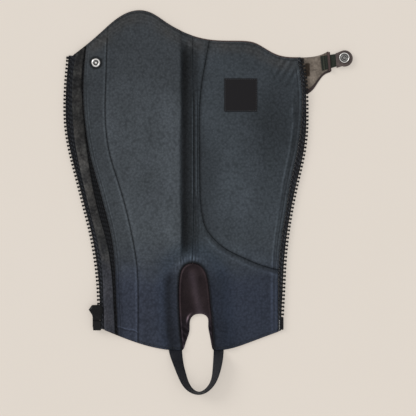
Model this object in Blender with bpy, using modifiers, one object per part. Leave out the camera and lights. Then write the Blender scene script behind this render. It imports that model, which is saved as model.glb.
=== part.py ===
"""A leather half chap, unzipped and laid open on a table with its inside up.

The model is in metres. +X runs across the leg, +Y towards the knee and +Z up. The origin is
the middle of the bounding box, on the table. The sizes below are in millimetres.

The leather, the lining and the zip tapes all follow one relief, the height of the leather's
underside above the table. Each panel is a grid of points between four edges, given its
thickness upwards.
"""

import math

import bmesh
import bpy
import numpy as np

MM = 0.001

# Walls, and the gap between one piece and the next
OUTER = 1.4
LINING = 1.2
TAPE = 0.6
GUARD = 1.0
ELASTIC = 1.3
LABEL = 0.4
GAP = 0.3
SEAM = 0.2  # each panel stops this far short of its seam line

# Heights above the relief
LINING_LOW = OUTER + GAP
TAPE_MID = 2.4
TOOTH_HALF = 2.0
GUARD_LOW = TAPE_MID + TAPE / 2 + GAP
STRAP_MID = LINING_LOW + ELASTIC / 2

# Across the chap at each height y: the tips of the teeth, the lining's edges, and the seam of
# the left facing
ACROSS = np.array([
    # y, left tips, left lining, facing seam, right lining, right tips
    (190, -184.2, -160.2, -132.0, 116.4, 122.7),
    (160, -187.0, -162.5, -132.9, 121.0, 128.7),
    (130, -188.4, -162.5, -134.0, 122.7, 130.4),
    (95, -187.0, -159.4, -132.9, 120.5, 130.2),
    (60, -180.6, -153.5, -127.4, 115.0, 125.9),
    (25, -171.6, -145.2, -116.6, 107.3, 118.0),
    (-10, -162.7, -136.9, -106.5, 101.7, 110.8),
    (-45, -154.2, -128.5, -98.6, 96.0, 105.3),
    (-80, -148.4, -122.0, -92.9, 92.4, 101.9),
    (-115, -145.0, -120.5, -91.2, 91.3, 100.2),
    (-140, -144.0, -119.4, -91.1, 91.3, 98.9),
    (-167, -143.4, -118.0, -91.3, 91.3, 97.9),
])
TOOTH_DEPTH = 4.8  # from the tips to the tape
OUTER_IN = 9.0  # from the left tips to the leather's edge under the tape
GUARD_IN = (12.4, 9.1)  # from the left tips to the guard's edge, at the top and at the hem

# The outline and the seams, as points of smooth lines (x, y)
TOP_EDGE = [
    (-176.4, 191.0), (-158.9, 204.4), (-138.1, 222.6), (-117.3, 240.1), (-101.7, 247.9),
    (-86.1, 249.7), (-73.1, 246.0), (-54.9, 234.3), (-34.1, 222.6), (-13.3, 214.8),
    (7.5, 211.1), (41.3, 210.2), (59.5, 207.9), (80.3, 196.6), (92.0, 191.4), (121.3, 188.8),
]
HEM_LEFT = [
    (-137.5, -165.3), (-125.1, -170.4), (-106.9, -177.8), (-86.1, -185.0), (-65.3, -190.2),
    (-49.7, -192.4), (-33.4, -192.8),
]
HEM_RIGHT = [(6.9, -192.8), (20.5, -192.1), (49.1, -184.3), (69.9, -176.5), (98.6, -166.0)]
SPINE = [(-20.0, 217.5), (-19.4, 100.0), (-19.0, 0.0), (-19.5, -45.0), (-21.1, -78.9)]
CALF_SEAM = [
    (1.8, 211.9), (-3.2, 183.6), (-7.4, 160.2), (-10.3, 134.2), (-11.6, 100.4), (-11.1, 54.9),
    (-10.4, 9.4), (-8.1, -15.3), (-2.2, -34.8), (6.9, -46.9), (19.2, -58.2), (41.3, -70.3),
    (67.3, -81.4), (92.3, -88.5),
]
ARCH = [
    (-33.4, -192.8), (-35.4, -176.5), (-37.6, -150.5), (-38.7, -124.5), (-38.2, -103.7),
    (-35.6, -90.1), (-30.2, -82.0), (-21.1, -78.9), (-12.0, -81.2), (-4.8, -88.8),
    (-0.3, -103.7), (2.3, -127.1), (4.9, -153.1), (6.9, -192.8),
]
CUT = [
    (-31.4, -190.0), (-27.3, -177.2), (-24.4, -167.4), (-24.1, -158.3), (-22.8, -151.8),
    (-18.5, -147.0), (-10.9, -145.3), (-4.2, -146.9), (-0.8, -150.5), (0.0, -160.9),
    (1.3, -170.0), (5.0, -190.0),
]
SPINE_TURN = (-19.5, -45.0)  # level with the bend of the calf seam
CALF_TURN = (-2.2, -34.8)
ARCH_TOP = (-21.1, -78.9)
ARCH_TURN = (1.5, -118.0)

# Rows of cells down the panels, and the columns of the left panel, closest at the crease
ROWS_ABOVE_ARCH = 17
ROWS_CALF, ROWS_TO_ARCH, ROWS_ANKLE = 14, 4, 5
ARCH_LEFT_ROWS = (0, 0.05, 0.1, 0.17, 0.26, 0.38, 0.53, 0.68, 0.84, 1)
ARCH_RIGHT_ROWS = (0, 0.1, 0.22, 0.37, 0.56, 0.77, 1)
COLUMNS_LEFT = np.array([0, 0.13, 0.27, 0.41, 0.55, 0.68, 0.79, 0.86, 0.905, 0.95, 1])

# Relief
BULGE, BULGE_FOOT, BULGE_PLATEAU = 7.0, -150.0, -80.0
BULGE_FROM_Y, BULGE_FULL_Y = -100.0, -40.0
BULGE_FADES_Y, TOP_Y, FADED_AT_TOP = 170.0, 245.0, 0.7
CREASE_TOP, CREASE_FOOT = -41.0, -30.0
SPINE_RIDGE, SPINE_RIDGE_X, SPINE_RIDGE_WIDE = 1.3, -17.0, 6.0
SPINE_RIDGE_ENDS, SPINE_RIDGE_FADE = (-90.0, 210.0), 60.0
SPINE_RIDGE_LEAST = 0.05  # below this the leather lies flat
CALF_BULGE, CALF_MIDDLE, CALF_REACH = 3.0, (46.0, 60.0), (56.0, 125.0)
STUD_LIFT, STUD_FLAT, STUD_REACH = 4.7, 7.0, 38.0
SLIDER_LIFT, SLIDER_REACH = 4.4, 45.0
SLIDER_FLAT_LOW, SLIDER_FLAT_HIGH = (-149.0, -168.0), (-137.0, -132.0)
TAB_LIFT = 1.6  # of the right zip where the tab passes under it
TAB_LIFT_FROM, TAB_LIFT_FADE = 115.0, 20.0
RIM, RIM_WIDE = 2.4, 6.0  # of the lining round the arch
EDGE_LIFT, EDGE_WIDE = 1.2, 9.0  # of the lining's left edge
STRAP_LIFT, STRAP_FLAT, STRAP_REACH = 1.7, 9.0, 12.0  # of the lining over the strap's ends
STRAP_ENDS_X, STRAP_ENDS_Y = ((-51.2, -33.9), (7.0, 20.3)), (-194.0, -177.0)
INSTEP_RIDGE, INSTEP_RIDGE_X, INSTEP_RIDGE_WIDE = 3.0, -13.0, 9.0
INSTEP_RIDGE_TOP, INSTEP_RIDGE_FADE, INSTEP_EDGE_FADE = -80.0, 25.0, 12.0

# Foot strap: its edges, from the left end to the right one. It turns on edge under the foot
STRAP_WIDE = 17.5
STRAP_FLOOR = 1.0
STRAP_TURNS_Y, STRAP_TURN_LONG = -193.0, 13.0
STRAP_DROPS_Y, STRAP_DROP_LONG = -197.0, 25.0
STRAP = [
    # outer edge x, y, inner edge x, y
    (-51.0, -177.0, -33.9, -177.0),
    (-51.2, -193.0, -33.9, -193.0),
    (-48.4, -202.5, -32.8, -205.1),
    (-39.9, -224.0, -28.6, -224.4),
    (-26.3, -244.2, -21.3, -241.5),
    (-12.0, -249.0, -12.0, -247.1),
    (4.7, -240.5, 0.8, -238.0),
    (16.0, -218.1, 6.0, -216.8),
    (20.2, -193.0, 7.0, -193.0),
    (20.3, -177.0, 7.0, -177.0),
]
STRAP_ROWS = 26

# Closing tab
TAB_UPPER = [(116.9, 188.4), (132.3, 188.9), (141.4, 190.3), (148.3, 192.4), (156.0, 196.4)]
TAB_LOWER = [
    (122.9, 140.2), (127.5, 140.6), (134.6, 144.6), (140.1, 151.4), (146.0, 160.3),
    (152.5, 166.7), (159.2, 169.4),
]
TAB_BAR = [(154.4, 195.2), (158.3, 195.4), (160.4, 170.2), (156.6, 169.4)]
TAB_ELASTIC = [(145.6, 189.7), (170.0, 193.6), (170.0, 177.4), (148.3, 171.0)]
TAB_END_SQUARE = [(167.0, 174.6), (165.4, 193.4)]
TAB_END_CENTRE, TAB_END_RADIUS = (177.4, 186.9), 10.6
TAB_LEATHER = 1.4

# Snaps
STUD_CENTRE = (-146.6, 181.9)
SOCKET_CENTRE = (176.9, 187.4)
SNAP_STEPS = 24
CAP_PROFILE = [(0.0, 1.9), (1.6, 1.7), (2.6, 2.1), (4.6, 1.9), (5.7, 1.1), (6.0, 0.0), (0.0, 0.0)]
STUD_PROFILE = [(0.0, 1.6), (5.0, 1.6), (5.0, 0.9), (2.5, 0.7), (2.2, -2.2), (0.0, -2.2)]
SOCKET_PROFILE = [
    (0.0, 0.5), (1.9, 0.5), (2.2, 1.6), (3.4, 1.6), (4.4, 1.2), (5.0, 2.1), (6.4, 2.1),
    (6.7, 1.4), (6.7, 0.0), (0.0, 0.0),
]
UNDER_CAP_PROFILE = [(0.0, 2.6), (5.6, 2.6), (6.0, 1.8), (4.8, 0.6), (2.5, 0.0), (0.0, 0.0)]

# Zip hardware
SLIDER_X, SLIDER_HALF = -146.4, 3.4
SLIDER_OUTLINE = [
    (-151.0, -133.6), (-155.2, -139.4), (-150.6, -146.6), (-149.6, -152.8), (-140.4, -152.8),
    (-137.6, -145.0), (-136.3, -138.4), (-138.8, -133.4),
]
CHANNEL_HALF = 2.35
CHANNEL_REACH, CHANNEL_ENDS_Y = 20.0, (-160.0, -125.0)
POST_WIDE = 2.0
BRIDGE_WIDE, BRIDGE_LONG, BRIDGE_OPEN, BRIDGE_WALL = 2.6, 8.8, 6.0, 0.8
BRIDGE_LOW, BRIDGE_HIGH = 0.2, 3.1
HINGE_Y, HINGE_Z = -143.0, 2.05
PULL_WIDE, PULL_THICK, PULL_BAR = 8.0, 1.2, 0.6
PULL_LONG, PULL_CORNER = 22.4, 2.5
PULL_WINDOW = (4.2, 4.6)
ZIP_LIFTED = TAPE_MID + SLIDER_LIFT
BOX_LOW, BOX_HIGH, BOX_HALF = (-149.6, -166.5), (-139.1, -153.7), 2.6
PIN_LOW, PIN_HIGH, PIN_HALF = (94.3, -166.0), (98.0, -149.2), 1.9
LEFT_TEETH_Y = (186.0, -153.2)
RIGHT_TEETH_Y = (183.5, -148.6)
STOP_LONG = 3.2
TAIL = 60.0  # past both ends of the lines across the chap, to reach the outline

LABEL_LOW, LABEL_HIGH, LABEL_CELLS = (20.9, 117.9), (63.8, 161.1), 4

COLOURS = {
    # sRGB colour, roughness, metallic
    "outer_leather": ("#3a2622", 0.55, 0),
    "instep_leather": ("#33262a", 0.35, 0),
    "lining": ("#3d4348", 0.8, 0),
    "suede": ("#3a3630", 0.9, 0),
    "tab_suede": ("#766b61", 0.9, 0),
    "tape": ("#1c1d20", 0.85, 0),
    "teeth": ("#0e0f11", 0.4, 0),
    "elastic": ("#23252d", 0.85, 0),
    "green_elastic": ("#20261f", 0.85, 0),
    "label": ("#1b1a1c", 0.6, 0),
    "steel": ("#c8c8c8", 0.25, 1),
}


def clear_scene():
    for thing in list(bpy.data.objects):
        bpy.data.objects.remove(thing)


def collection(name):
    made = bpy.data.collections.new(name)
    bpy.context.scene.collection.children.link(made)
    return made


def material(name):
    """The finish of that name, made on its first use."""
    if name in bpy.data.materials:
        return bpy.data.materials[name]
    colour, roughness, metallic = COLOURS[name]
    made = bpy.data.materials.new(name)
    made.use_nodes = True
    shader = made.node_tree.nodes["Principled BSDF"]
    shader.inputs["Base Color"].default_value = linear(colour)
    shader.inputs["Roughness"].default_value = roughness
    shader.inputs["Metallic"].default_value = metallic
    return made


def linear(colour):
    parts = [int(colour[i:i + 2], 16) / 255 for i in (1, 3, 5)]
    return [p / 12.92 if p <= 0.04045 else ((p + 0.055) / 1.055) ** 2.4 for p in parts] + [1]


def ease(t):
    """0 below 0, 1 above 1, and smooth between."""
    t = np.clip(t, 0, 1)
    return t * t * (3 - 2 * t)


def smooth(points, per_span=90):
    """Close points on the natural cubic spline through the given ones, in any dimension."""
    p = np.array(points, float)
    n = len(p)
    t = run_of(p)
    step = np.diff(t)
    slope = np.diff(p, axis=0) / step[:, None]
    system, bend = np.eye(n), np.zeros_like(p)
    for i in range(1, n - 1):
        system[i, i - 1:i + 2] = step[i - 1], 2 * (step[i - 1] + step[i]), step[i]
        bend[i] = 6 * (slope[i] - slope[i - 1])
    curve = np.linalg.solve(system, bend)
    at = np.linspace(0, t[-1], per_span * (n - 1) + 1)
    k = np.clip(np.searchsorted(t, at, side="right") - 1, 0, n - 2)
    h, a, b = step[k][:, None], (t[k + 1] - at)[:, None], (at - t[k])[:, None]
    return (
        (curve[k] * a ** 3 + curve[k + 1] * b ** 3) / (6 * h)
        + (p[k] / h - curve[k] * h / 6) * a
        + (p[k + 1] / h - curve[k + 1] * h / 6) * b
    )


def run_of(points):
    """The length along a line at each of its points."""
    return np.concatenate([[0], np.cumsum(np.linalg.norm(np.diff(points, axis=0), axis=1))])


def side(x):
    """A smooth line through the rows of ACROSS at these x, with straight tails past both ends."""
    line = smooth(np.column_stack([x, ACROSS[:, 0]]))
    tail = np.linspace(1, 0, 160, endpoint=False)[:, None] * TAIL
    up = (line[0] - line[1]) / np.linalg.norm(line[0] - line[1])
    down = (line[-1] - line[-2]) / np.linalg.norm(line[-1] - line[-2])
    return np.concatenate([line[0] + up * tail, line, line[-1] + down * tail[::-1]])


def meet(a, b):
    """The point of line a that is nearest to line b."""
    apart = np.linalg.norm(a[:, None] - b[None], axis=2)
    return a[np.unravel_index(np.argmin(apart), apart.shape)[0]]


def stretch(line, start, end, steps):
    """Points along a line from start to end: evenly spaced for a number of steps, or at fractions."""
    at = np.linspace(0, 1, steps + 1) if np.isscalar(steps) else np.array(steps)
    first, last = (int(np.argmin(np.linalg.norm(line - p, axis=1))) for p in (start, end))
    cut = line[first:last + 1] if first <= last else line[last:first + 1][::-1]
    run = run_of(cut)
    points = np.column_stack([np.interp(at * run[-1], run, c) for c in cut.T])
    points[0], points[-1] = start, end
    return points


def joined(*stretches):
    """Stretches end to end, each start dropped where it repeats the end before it."""
    return np.concatenate([stretches[0]] + [s[1:] for s in stretches[1:]])


def drawn_in(loop, inset):
    """A clockwise loop with each of its edges moved in by its own inset."""
    edge = np.roll(loop, -1, axis=0) - loop
    normal = np.column_stack([edge[:, 1], -edge[:, 0]]) / np.linalg.norm(edge, axis=1)[:, None]
    before, inset_before = np.roll(normal, 1, axis=0), np.roll(inset, 1)
    det = before[:, 0] * normal[:, 1] - before[:, 1] * normal[:, 0]
    straight = np.abs(det) < 0.02
    det = np.where(straight, 1, det)
    x = (inset_before * normal[:, 1] - inset * before[:, 1]) / det
    y = (before[:, 0] * inset - normal[:, 0] * inset_before) / det
    corner = np.column_stack([x, y])
    return loop + np.where(straight[:, None], normal * inset[:, None], corner)


def patch(left, right, top, bottom, insets=(0, 0, 0, 0)):
    """A grid of points blended between four edges, a Coons patch, top row first.

    left and right run downwards, top and bottom to the right. insets are those of the left,
    right, top and bottom edges.
    """
    rows, columns = len(left) - 1, len(top) - 1
    loop = np.concatenate([top[:-1], right[:-1], bottom[:0:-1], left[:0:-1]])
    inset = np.repeat(
        [insets[2], insets[1], insets[3], insets[0]], [columns, rows, columns, rows]
    ).astype(float)
    loop = drawn_in(loop, inset)
    loop = np.concatenate([loop, loop[:1]])
    top = loop[:columns + 1]
    right = loop[columns:columns + rows + 1]
    bottom = loop[columns + rows:2 * columns + rows + 1][::-1]
    left = loop[2 * columns + rows:][::-1]
    u = fractions(top, bottom)[None, :, None]
    v = fractions(left, right)[:, None, None]
    across = (1 - u) * left[:, None] + u * right[:, None]
    down = (1 - v) * top[None] + v * bottom[None]
    upper = (1 - u) * top[0] + u * top[-1]
    lower = (1 - u) * bottom[0] + u * bottom[-1]
    return across + down - (1 - v) * upper - v * lower


def fractions(a, b):
    return sum(run_of(line) / run_of(line)[-1] for line in (a, b)) / 2


def distance(x, y, line):
    """From a point to a close line of points."""
    return np.min(np.hypot(line[:, 0] - x, line[:, 1] - y))


def beyond(x, y, low, high):
    """How far a point lies outside a rectangle."""
    return math.hypot(max(low[0] - x, x - high[0], 0), max(low[1] - y, y - high[1], 0))


def relief(x, y):
    """The height of the leather's underside above the table.

    A broad bulge over the left panel drops into the crease, then come a low ridge along the
    spine and a shallow bulge over the calf. The stud and the slider lift the leather at two
    corners.
    """
    bulge = BULGE * ease((x - BULGE_FOOT) / (BULGE_PLATEAU - BULGE_FOOT))
    bulge *= 1 - ease((x - CREASE_TOP) / (CREASE_FOOT - CREASE_TOP))
    bulge *= ease((y - BULGE_FROM_Y) / (BULGE_FULL_Y - BULGE_FROM_Y))
    bulge *= 1 - FADED_AT_TOP * ease((y - BULGE_FADES_Y) / (TOP_Y - BULGE_FADES_Y))
    from_ends = min(y - SPINE_RIDGE_ENDS[0], SPINE_RIDGE_ENDS[1] - y)
    ridge = SPINE_RIDGE * math.exp(-(((x - SPINE_RIDGE_X) / SPINE_RIDGE_WIDE) ** 2))
    ridge *= ease(from_ends / SPINE_RIDGE_FADE)
    from_middle = math.hypot(
        (x - CALF_MIDDLE[0]) / CALF_REACH[0], (y - CALF_MIDDLE[1]) / CALF_REACH[1]
    )
    calf = CALF_BULGE * ease(1 - from_middle)
    from_stud = math.dist((x, y), STUD_CENTRE) - STUD_FLAT
    stud = STUD_LIFT * (1 - ease(from_stud / STUD_REACH))
    from_slider = beyond(x, y, SLIDER_FLAT_LOW, SLIDER_FLAT_HIGH)
    slider = SLIDER_LIFT * (1 - ease(from_slider / SLIDER_REACH))
    ridge = ridge if ridge > SPINE_RIDGE_LEAST else 0.0
    return float(max(bulge, stud) + ridge + calf + slider)


def lining_low(x, y):
    """The lining's underside: raised round the arch, at the left edge and over the strap's ends."""
    rim = RIM * math.exp(-((distance(x, y, LINES["arch"]) / RIM_WIDE) ** 2))
    edge = EDGE_LIFT * max(0, 1 - distance(x, y, LINES["left_lining"]) / EDGE_WIDE)
    strap = 0.0
    for low_x, high_x in STRAP_ENDS_X:
        away = beyond(x, y, (low_x, STRAP_ENDS_Y[0]), (high_x, STRAP_ENDS_Y[1])) - STRAP_FLAT
        strap = max(strap, STRAP_LIFT * (1 - ease(away / STRAP_REACH)))
    return relief(x, y) + LINING_LOW + edge + max(rim, strap)


def instep_low(x, y):
    """The instep panel's underside, with a soft ridge down its middle."""
    over = math.exp(-(((x - INSTEP_RIDGE_X) / INSTEP_RIDGE_WIDE) ** 2))
    over *= ease((INSTEP_RIDGE_TOP - y) / INSTEP_RIDGE_FADE)
    inside = ease(distance(x, y, LINES["arch"]) / INSTEP_EDGE_FADE)
    return relief(x, y) + INSTEP_RIDGE * float(over * inside)


def zip_mid(x, y):
    """The middle of the zip tape and the teeth."""
    over_tab = TAB_LIFT * ease((y - TAB_LIFT_FROM) / TAB_LIFT_FADE) if x > 0 else 0.0
    return relief(x, y) + TAPE_MID + float(over_tab)


def above(height, offset):
    return lambda x, y: height(x, y) + offset


def sheet(name, finish, grids, low, thick):
    """Cloth over grids of points, welded where they meet, from the height low(x, y) upwards."""
    bm = bmesh.new()
    for grid in grids:
        rows, columns = grid.shape[0] - 1, grid.shape[1] - 1
        cells = bmesh.ops.create_grid(bm, x_segments=columns, y_segments=rows, size=0.5)
        for vertex in cells["verts"]:
            row, column = round((0.5 - vertex.co.y) * rows), round((vertex.co.x + 0.5) * columns)
            x, y = grid[row, column]
            vertex.co = (x * MM, y * MM, low(x, y) * MM)
    bmesh.ops.remove_doubles(bm, verts=bm.verts, dist=0.00005)
    bmesh.ops.triangulate(bm, faces=bm.faces, quad_method="FIXED")
    made = bmesh.ops.extrude_face_region(bm, geom=bm.faces[:])
    upper = [v for v in made["geom"] if isinstance(v, bmesh.types.BMVert)]
    bmesh.ops.translate(bm, verts=upper, vec=(0, 0, thick * MM))
    bmesh.ops.recalc_face_normals(bm, faces=bm.faces)
    return node(name, finish, bm)


def node(name, finish, bm):
    """An object of the chap from a bmesh, smooth where its faces nearly line up."""
    mesh = bpy.data.meshes.new(name)
    bm.to_mesh(mesh)
    bm.free()
    mesh.shade_smooth()
    mesh.set_sharp_from_angle(angle=math.radians(35))
    mesh.materials.append(material(finish))
    made = bpy.data.objects.new(name, mesh)
    CHAP.objects.link(made)
    return made


def plate(name, finish, outline, low, high, bevel=0.0):
    """A flat piece with this outline, from the height low to high."""
    curve = bpy.data.curves.new(name, "CURVE")
    curve.dimensions, curve.fill_mode = "2D", "BOTH"
    curve.extrude = (high - low) / 2 * MM
    spline = curve.splines.new("POLY")
    spline.points.add(len(outline) - 1)
    for point, (x, y) in zip(spline.points, outline):
        point.co = (x * MM, y * MM, 0, 1)
    spline.use_cyclic_u = True
    drawn = bpy.data.objects.new(name, curve)
    drawn.location.z = (low + high) / 2 * MM
    bpy.context.scene.collection.objects.link(drawn)
    bpy.context.view_layer.update()
    seen = drawn.evaluated_get(bpy.context.evaluated_depsgraph_get())
    solid = bpy.data.meshes.new_from_object(seen)
    bm = bmesh.new()
    bm.from_mesh(solid)
    bmesh.ops.transform(bm, matrix=drawn.matrix_world, verts=bm.verts)
    bmesh.ops.remove_doubles(bm, verts=bm.verts, dist=0.00001)
    bmesh.ops.recalc_face_normals(bm, faces=bm.faces)
    bpy.data.objects.remove(drawn)
    bpy.data.meshes.remove(solid)
    made = node(name, finish, bm)
    if bevel:
        rounded(made, bevel)
    return made


def rounded(made, width, segments=1):
    edges = made.modifiers.new("Rounded edges", "BEVEL")
    edges.width, edges.segments = width * MM, segments
    edges.limit_method, edges.angle_limit = "ANGLE", math.radians(40)


def block(name, finish, low, high, bevel=0.0):
    """A box between two corners."""
    low, high = np.array(low), np.array(high)
    bm = bmesh.new()
    bmesh.ops.create_cube(bm, size=1)
    bmesh.ops.scale(bm, vec=(high - low) * MM, verts=bm.verts)
    bmesh.ops.translate(bm, vec=(high + low) / 2 * MM, verts=bm.verts)
    made = node(name, finish, bm)
    if bevel:
        rounded(made, bevel)
    return made


def combine(body, tool, operation):
    """Cut the body with the tool, or join the tool to it."""
    CHAP.objects.unlink(tool)
    CUTTERS.objects.link(tool)
    tool.hide_render = True
    tool.display_type = "WIRE"
    step = body.modifiers.new(tool.name, "BOOLEAN")
    step.operation, step.object, step.solver = operation, tool, "EXACT"


def turned(name, finish, profile, centre, base):
    """A profile of (radius, height) turned about a vertical axis."""
    mesh = bpy.data.meshes.new(name)
    points = [(r * MM, 0, z * MM) for r, z in profile]
    mesh.from_pydata(points, [(i, i + 1) for i in range(len(points) - 1)], [])
    mesh.materials.append(material(finish))
    made = bpy.data.objects.new(name, mesh)
    made.location = (centre[0] * MM, centre[1] * MM, base * MM)
    CHAP.objects.link(made)
    spin = made.modifiers.new("Turned", "SCREW")
    spin.steps = spin.render_steps = SNAP_STEPS
    spin.use_merge_vertices = True
    spin.merge_threshold = 0.00001
    return made


def find_lines():
    """The smooth lines that the edges of the pieces lie on."""
    y_fraction = (ACROSS[0, 0] - ACROSS[:, 0]) / (ACROSS[0, 0] - ACROSS[-1, 0])
    guard_in = GUARD_IN[0] + (GUARD_IN[1] - GUARD_IN[0]) * y_fraction
    tips_left, tips_right = ACROSS[:, 1], ACROSS[:, 5]
    LINES.update(
        top=smooth(TOP_EDGE), hem_left=smooth(HEM_LEFT), hem_right=smooth(HEM_RIGHT),
        spine=smooth(SPINE), calf_seam=smooth(CALF_SEAM), arch=smooth(ARCH), cut=smooth(CUT),
        left_tips=side(tips_left), left_root=side(tips_left + TOOTH_DEPTH),
        left_tape=side(tips_left + TOOTH_DEPTH + GAP), left_outer=side(tips_left + OUTER_IN),
        guard=side(tips_left + guard_in), left_lining=side(ACROSS[:, 2]),
        facing=side(ACROSS[:, 3]), right_lining=side(ACROSS[:, 4]),
        right_tape=side(tips_right - TOOTH_DEPTH - GAP),
        right_root=side(tips_right - TOOTH_DEPTH), right_tips=side(tips_right),
    )


def left_side(name):
    """One of the lines of the left half, from the top edge to the hem, in its rows of cells."""
    line = LINES[name]
    start, end = meet(line, LINES["top"]), meet(line, LINES["hem_left"])
    level = line[np.argmin(np.abs(line[:, 1] - (ARCH_TOP[1] + 4)))]
    return joined(
        stretch(line, start, level, ROWS_ABOVE_ARCH), stretch(line, level, end, ARCH_LEFT_ROWS)
    )


def arch_rows():
    """The arch from its top down the left side, and down the right side past the turn."""
    arch, peak = LINES["arch"], int(np.argmax(LINES["arch"][:, 1]))
    return (
        stretch(arch[:peak + 1], arch[peak], ARCH[0], ARCH_LEFT_ROWS),
        joined(
            stretch(arch[peak:], arch[peak], ARCH_TURN, ARCH_RIGHT_ROWS),
            stretch(arch[peak:], ARCH_TURN, ARCH[-1], ROWS_ANKLE),
        ),
    )


def left_patch(left, right, columns, insets):
    """The grid between two lines of the left half."""
    top = stretch(LINES["top"], left[0], right[0], columns)
    bottom = stretch(LINES["hem_left"], left[-1], right[-1], columns)
    return patch(left, right, top, bottom, insets)


def make_left():
    """Outer leather, lining, zip guard and tape of the left half."""
    arch_left = arch_rows()[0]
    spine_top = meet(LINES["spine"], LINES["top"])
    inner = joined(
        stretch(LINES["spine"], spine_top, arch_left[0], ROWS_ABOVE_ARCH), arch_left
    )
    outer, lining, facing = (left_side(n) for n in ("left_outer", "left_lining", "facing"))
    sheet(
        "outer_leather_left", "outer_leather",
        [
            left_patch(outer, lining, 2, (0, 0, 0, 0)),
            left_patch(lining, facing, 3, (0, 0, 0, 0)),
            left_patch(facing, inner, COLUMNS_LEFT, (0, SEAM, 0, 0)),
        ],
        relief, OUTER,
    )
    sheet(
        "lining_left_facing", "lining", [left_patch(lining, facing, 3, (SEAM, SEAM, 0.6, 0.3))],
        lining_low, LINING,
    )
    sheet(
        "lining_left", "lining",
        [left_patch(facing, inner, COLUMNS_LEFT, (SEAM, SEAM, 0.6, 0.3))],
        lining_low, LINING,
    )
    guard = left_side("guard")
    sheet(
        "zip_guard", "suede", [left_patch(guard, lining, 2, (0, SEAM, 0.6, 0.6))],
        above(relief, GUARD_LOW), GUARD,
    )
    sheet(
        "zip_tape_left", "tape",
        [
            left_patch(left_side("left_tape"), guard, 1, (0, 0, 0.6, 0.6)),
            left_patch(guard, lining, 2, (0, SEAM, 0.6, 0.6)),
        ],
        above(zip_mid, -TAPE / 2), TAPE,
    )


def right_corners():
    """Where the lines of the right half meet, by name."""
    edge = LINES["right_lining"]
    return dict(
        spine_top=meet(LINES["spine"], LINES["top"]),
        seam_top=meet(LINES["calf_seam"], LINES["top"]),
        edge_top=meet(edge, LINES["top"]),
        edge_seam=meet(edge, LINES["calf_seam"]),
        edge_foot=meet(edge, LINES["hem_right"]),
    )


def make_right():
    """Outer leather and lining of the right half: the calf panel, and the ankle panel with the
    strip beside the spine."""
    at, arch_right = right_corners(), arch_rows()[1]
    seam, edge, top = LINES["calf_seam"], LINES["right_lining"], LINES["top"]
    columns = ROWS_TO_ARCH + len(ARCH_RIGHT_ROWS) - 1
    seam_above = stretch(seam, at["seam_top"], CALF_TURN, ROWS_CALF)
    seam_below = stretch(seam, CALF_TURN, at["edge_seam"], columns)
    calf_edges = (
        seam_above,
        stretch(edge, at["edge_top"], at["edge_seam"], ROWS_CALF),
        stretch(top, at["seam_top"], at["edge_top"], columns),
        seam_below,
    )
    ankle_edges = (
        joined(
            stretch(LINES["spine"], at["spine_top"], SPINE_TURN, ROWS_CALF),
            stretch(LINES["spine"], SPINE_TURN, arch_right[0], ROWS_TO_ARCH),
            arch_right,
        ),
        joined(
            seam_above, seam_below,
            stretch(edge, at["edge_seam"], at["edge_foot"], ROWS_ANKLE),
        ),
        stretch(top, at["spine_top"], at["seam_top"], 5),
        stretch(LINES["hem_right"], ARCH[-1], at["edge_foot"], 5),
    )
    sheet(
        "outer_leather_right", "outer_leather",
        [patch(*ankle_edges, (SEAM, 0, 0, 0)), patch(*calf_edges)],
        relief, OUTER,
    )
    sheet(
        "lining_ankle", "lining", [patch(*ankle_edges, (SEAM, SEAM, 1.0, 0.3))],
        lining_low, LINING,
    )
    sheet(
        "lining_calf", "lining", [patch(*calf_edges, (SEAM, SEAM, 1.0, SEAM))],
        lining_low, LINING,
    )
    rows = ROWS_CALF + columns
    inner = stretch(edge, at["edge_top"], at["edge_foot"], rows)
    outer = LINES["right_tape"]
    outer_ends = (meet(outer, inner[:1] + (0.0, -1.0)), meet(outer, LINES["hem_right"]))
    tape_ends = [np.array([inner[i], end]) for i, end in zip((0, -1), outer_ends)]
    sheet(
        "zip_tape_right", "tape",
        [patch(inner, stretch(outer, *outer_ends, rows), *tape_ends, (GAP, 0, 0.4, 0.4))],
        above(zip_mid, -TAPE / 2), TAPE,
    )


def make_instep():
    """The instep panel, a horseshoe between the lining's arch and the cut for the foot."""
    left, right = arch_rows()
    arch = joined(right[::-1], left)
    run = run_of(arch)
    cut = stretch(LINES["cut"], CUT[-1], CUT[0], run / run[-1])
    ends = [np.linspace(cut[i], arch[i], 5) for i in (0, -1)]
    sheet(
        "instep_panel", "instep_leather", [patch(cut, arch, *ends, (0, SEAM, 0, 0))],
        instep_low, OUTER,
    )


def make_teeth():
    """The rows of teeth as plain strips, with a stop at the top of each."""
    for name, ends, tips, root in (
        ("left", LEFT_TEETH_Y, "left_tips", "left_root"),
        ("right", RIGHT_TEETH_Y, "right_root", "right_tips"),
    ):
        sides = []
        for line in (LINES[tips], LINES[root]):
            start, end = (line[np.argmin(np.abs(line[:, 1] - y))] for y in ends)
            sides.append(stretch(line, start, end, 26))
        across = [np.array([sides[0][i], sides[1][i]]) for i in (0, -1)]
        sheet(
            f"zip_teeth_{name}", "teeth", [patch(*sides, *across)],
            above(zip_mid, -TOOTH_HALF), 2 * TOOTH_HALF,
        )
        (x0, y0), (x1, _) = across[0]
        middle = zip_mid((x0 + x1) / 2, y0 + STOP_LONG / 2)
        block(
            f"top_stop_{name}", "teeth", (x0, y0 + GAP, middle - TOOTH_HALF),
            (x1, y0 + GAP + STOP_LONG, middle + TOOTH_HALF), 0.5,
        )


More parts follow.
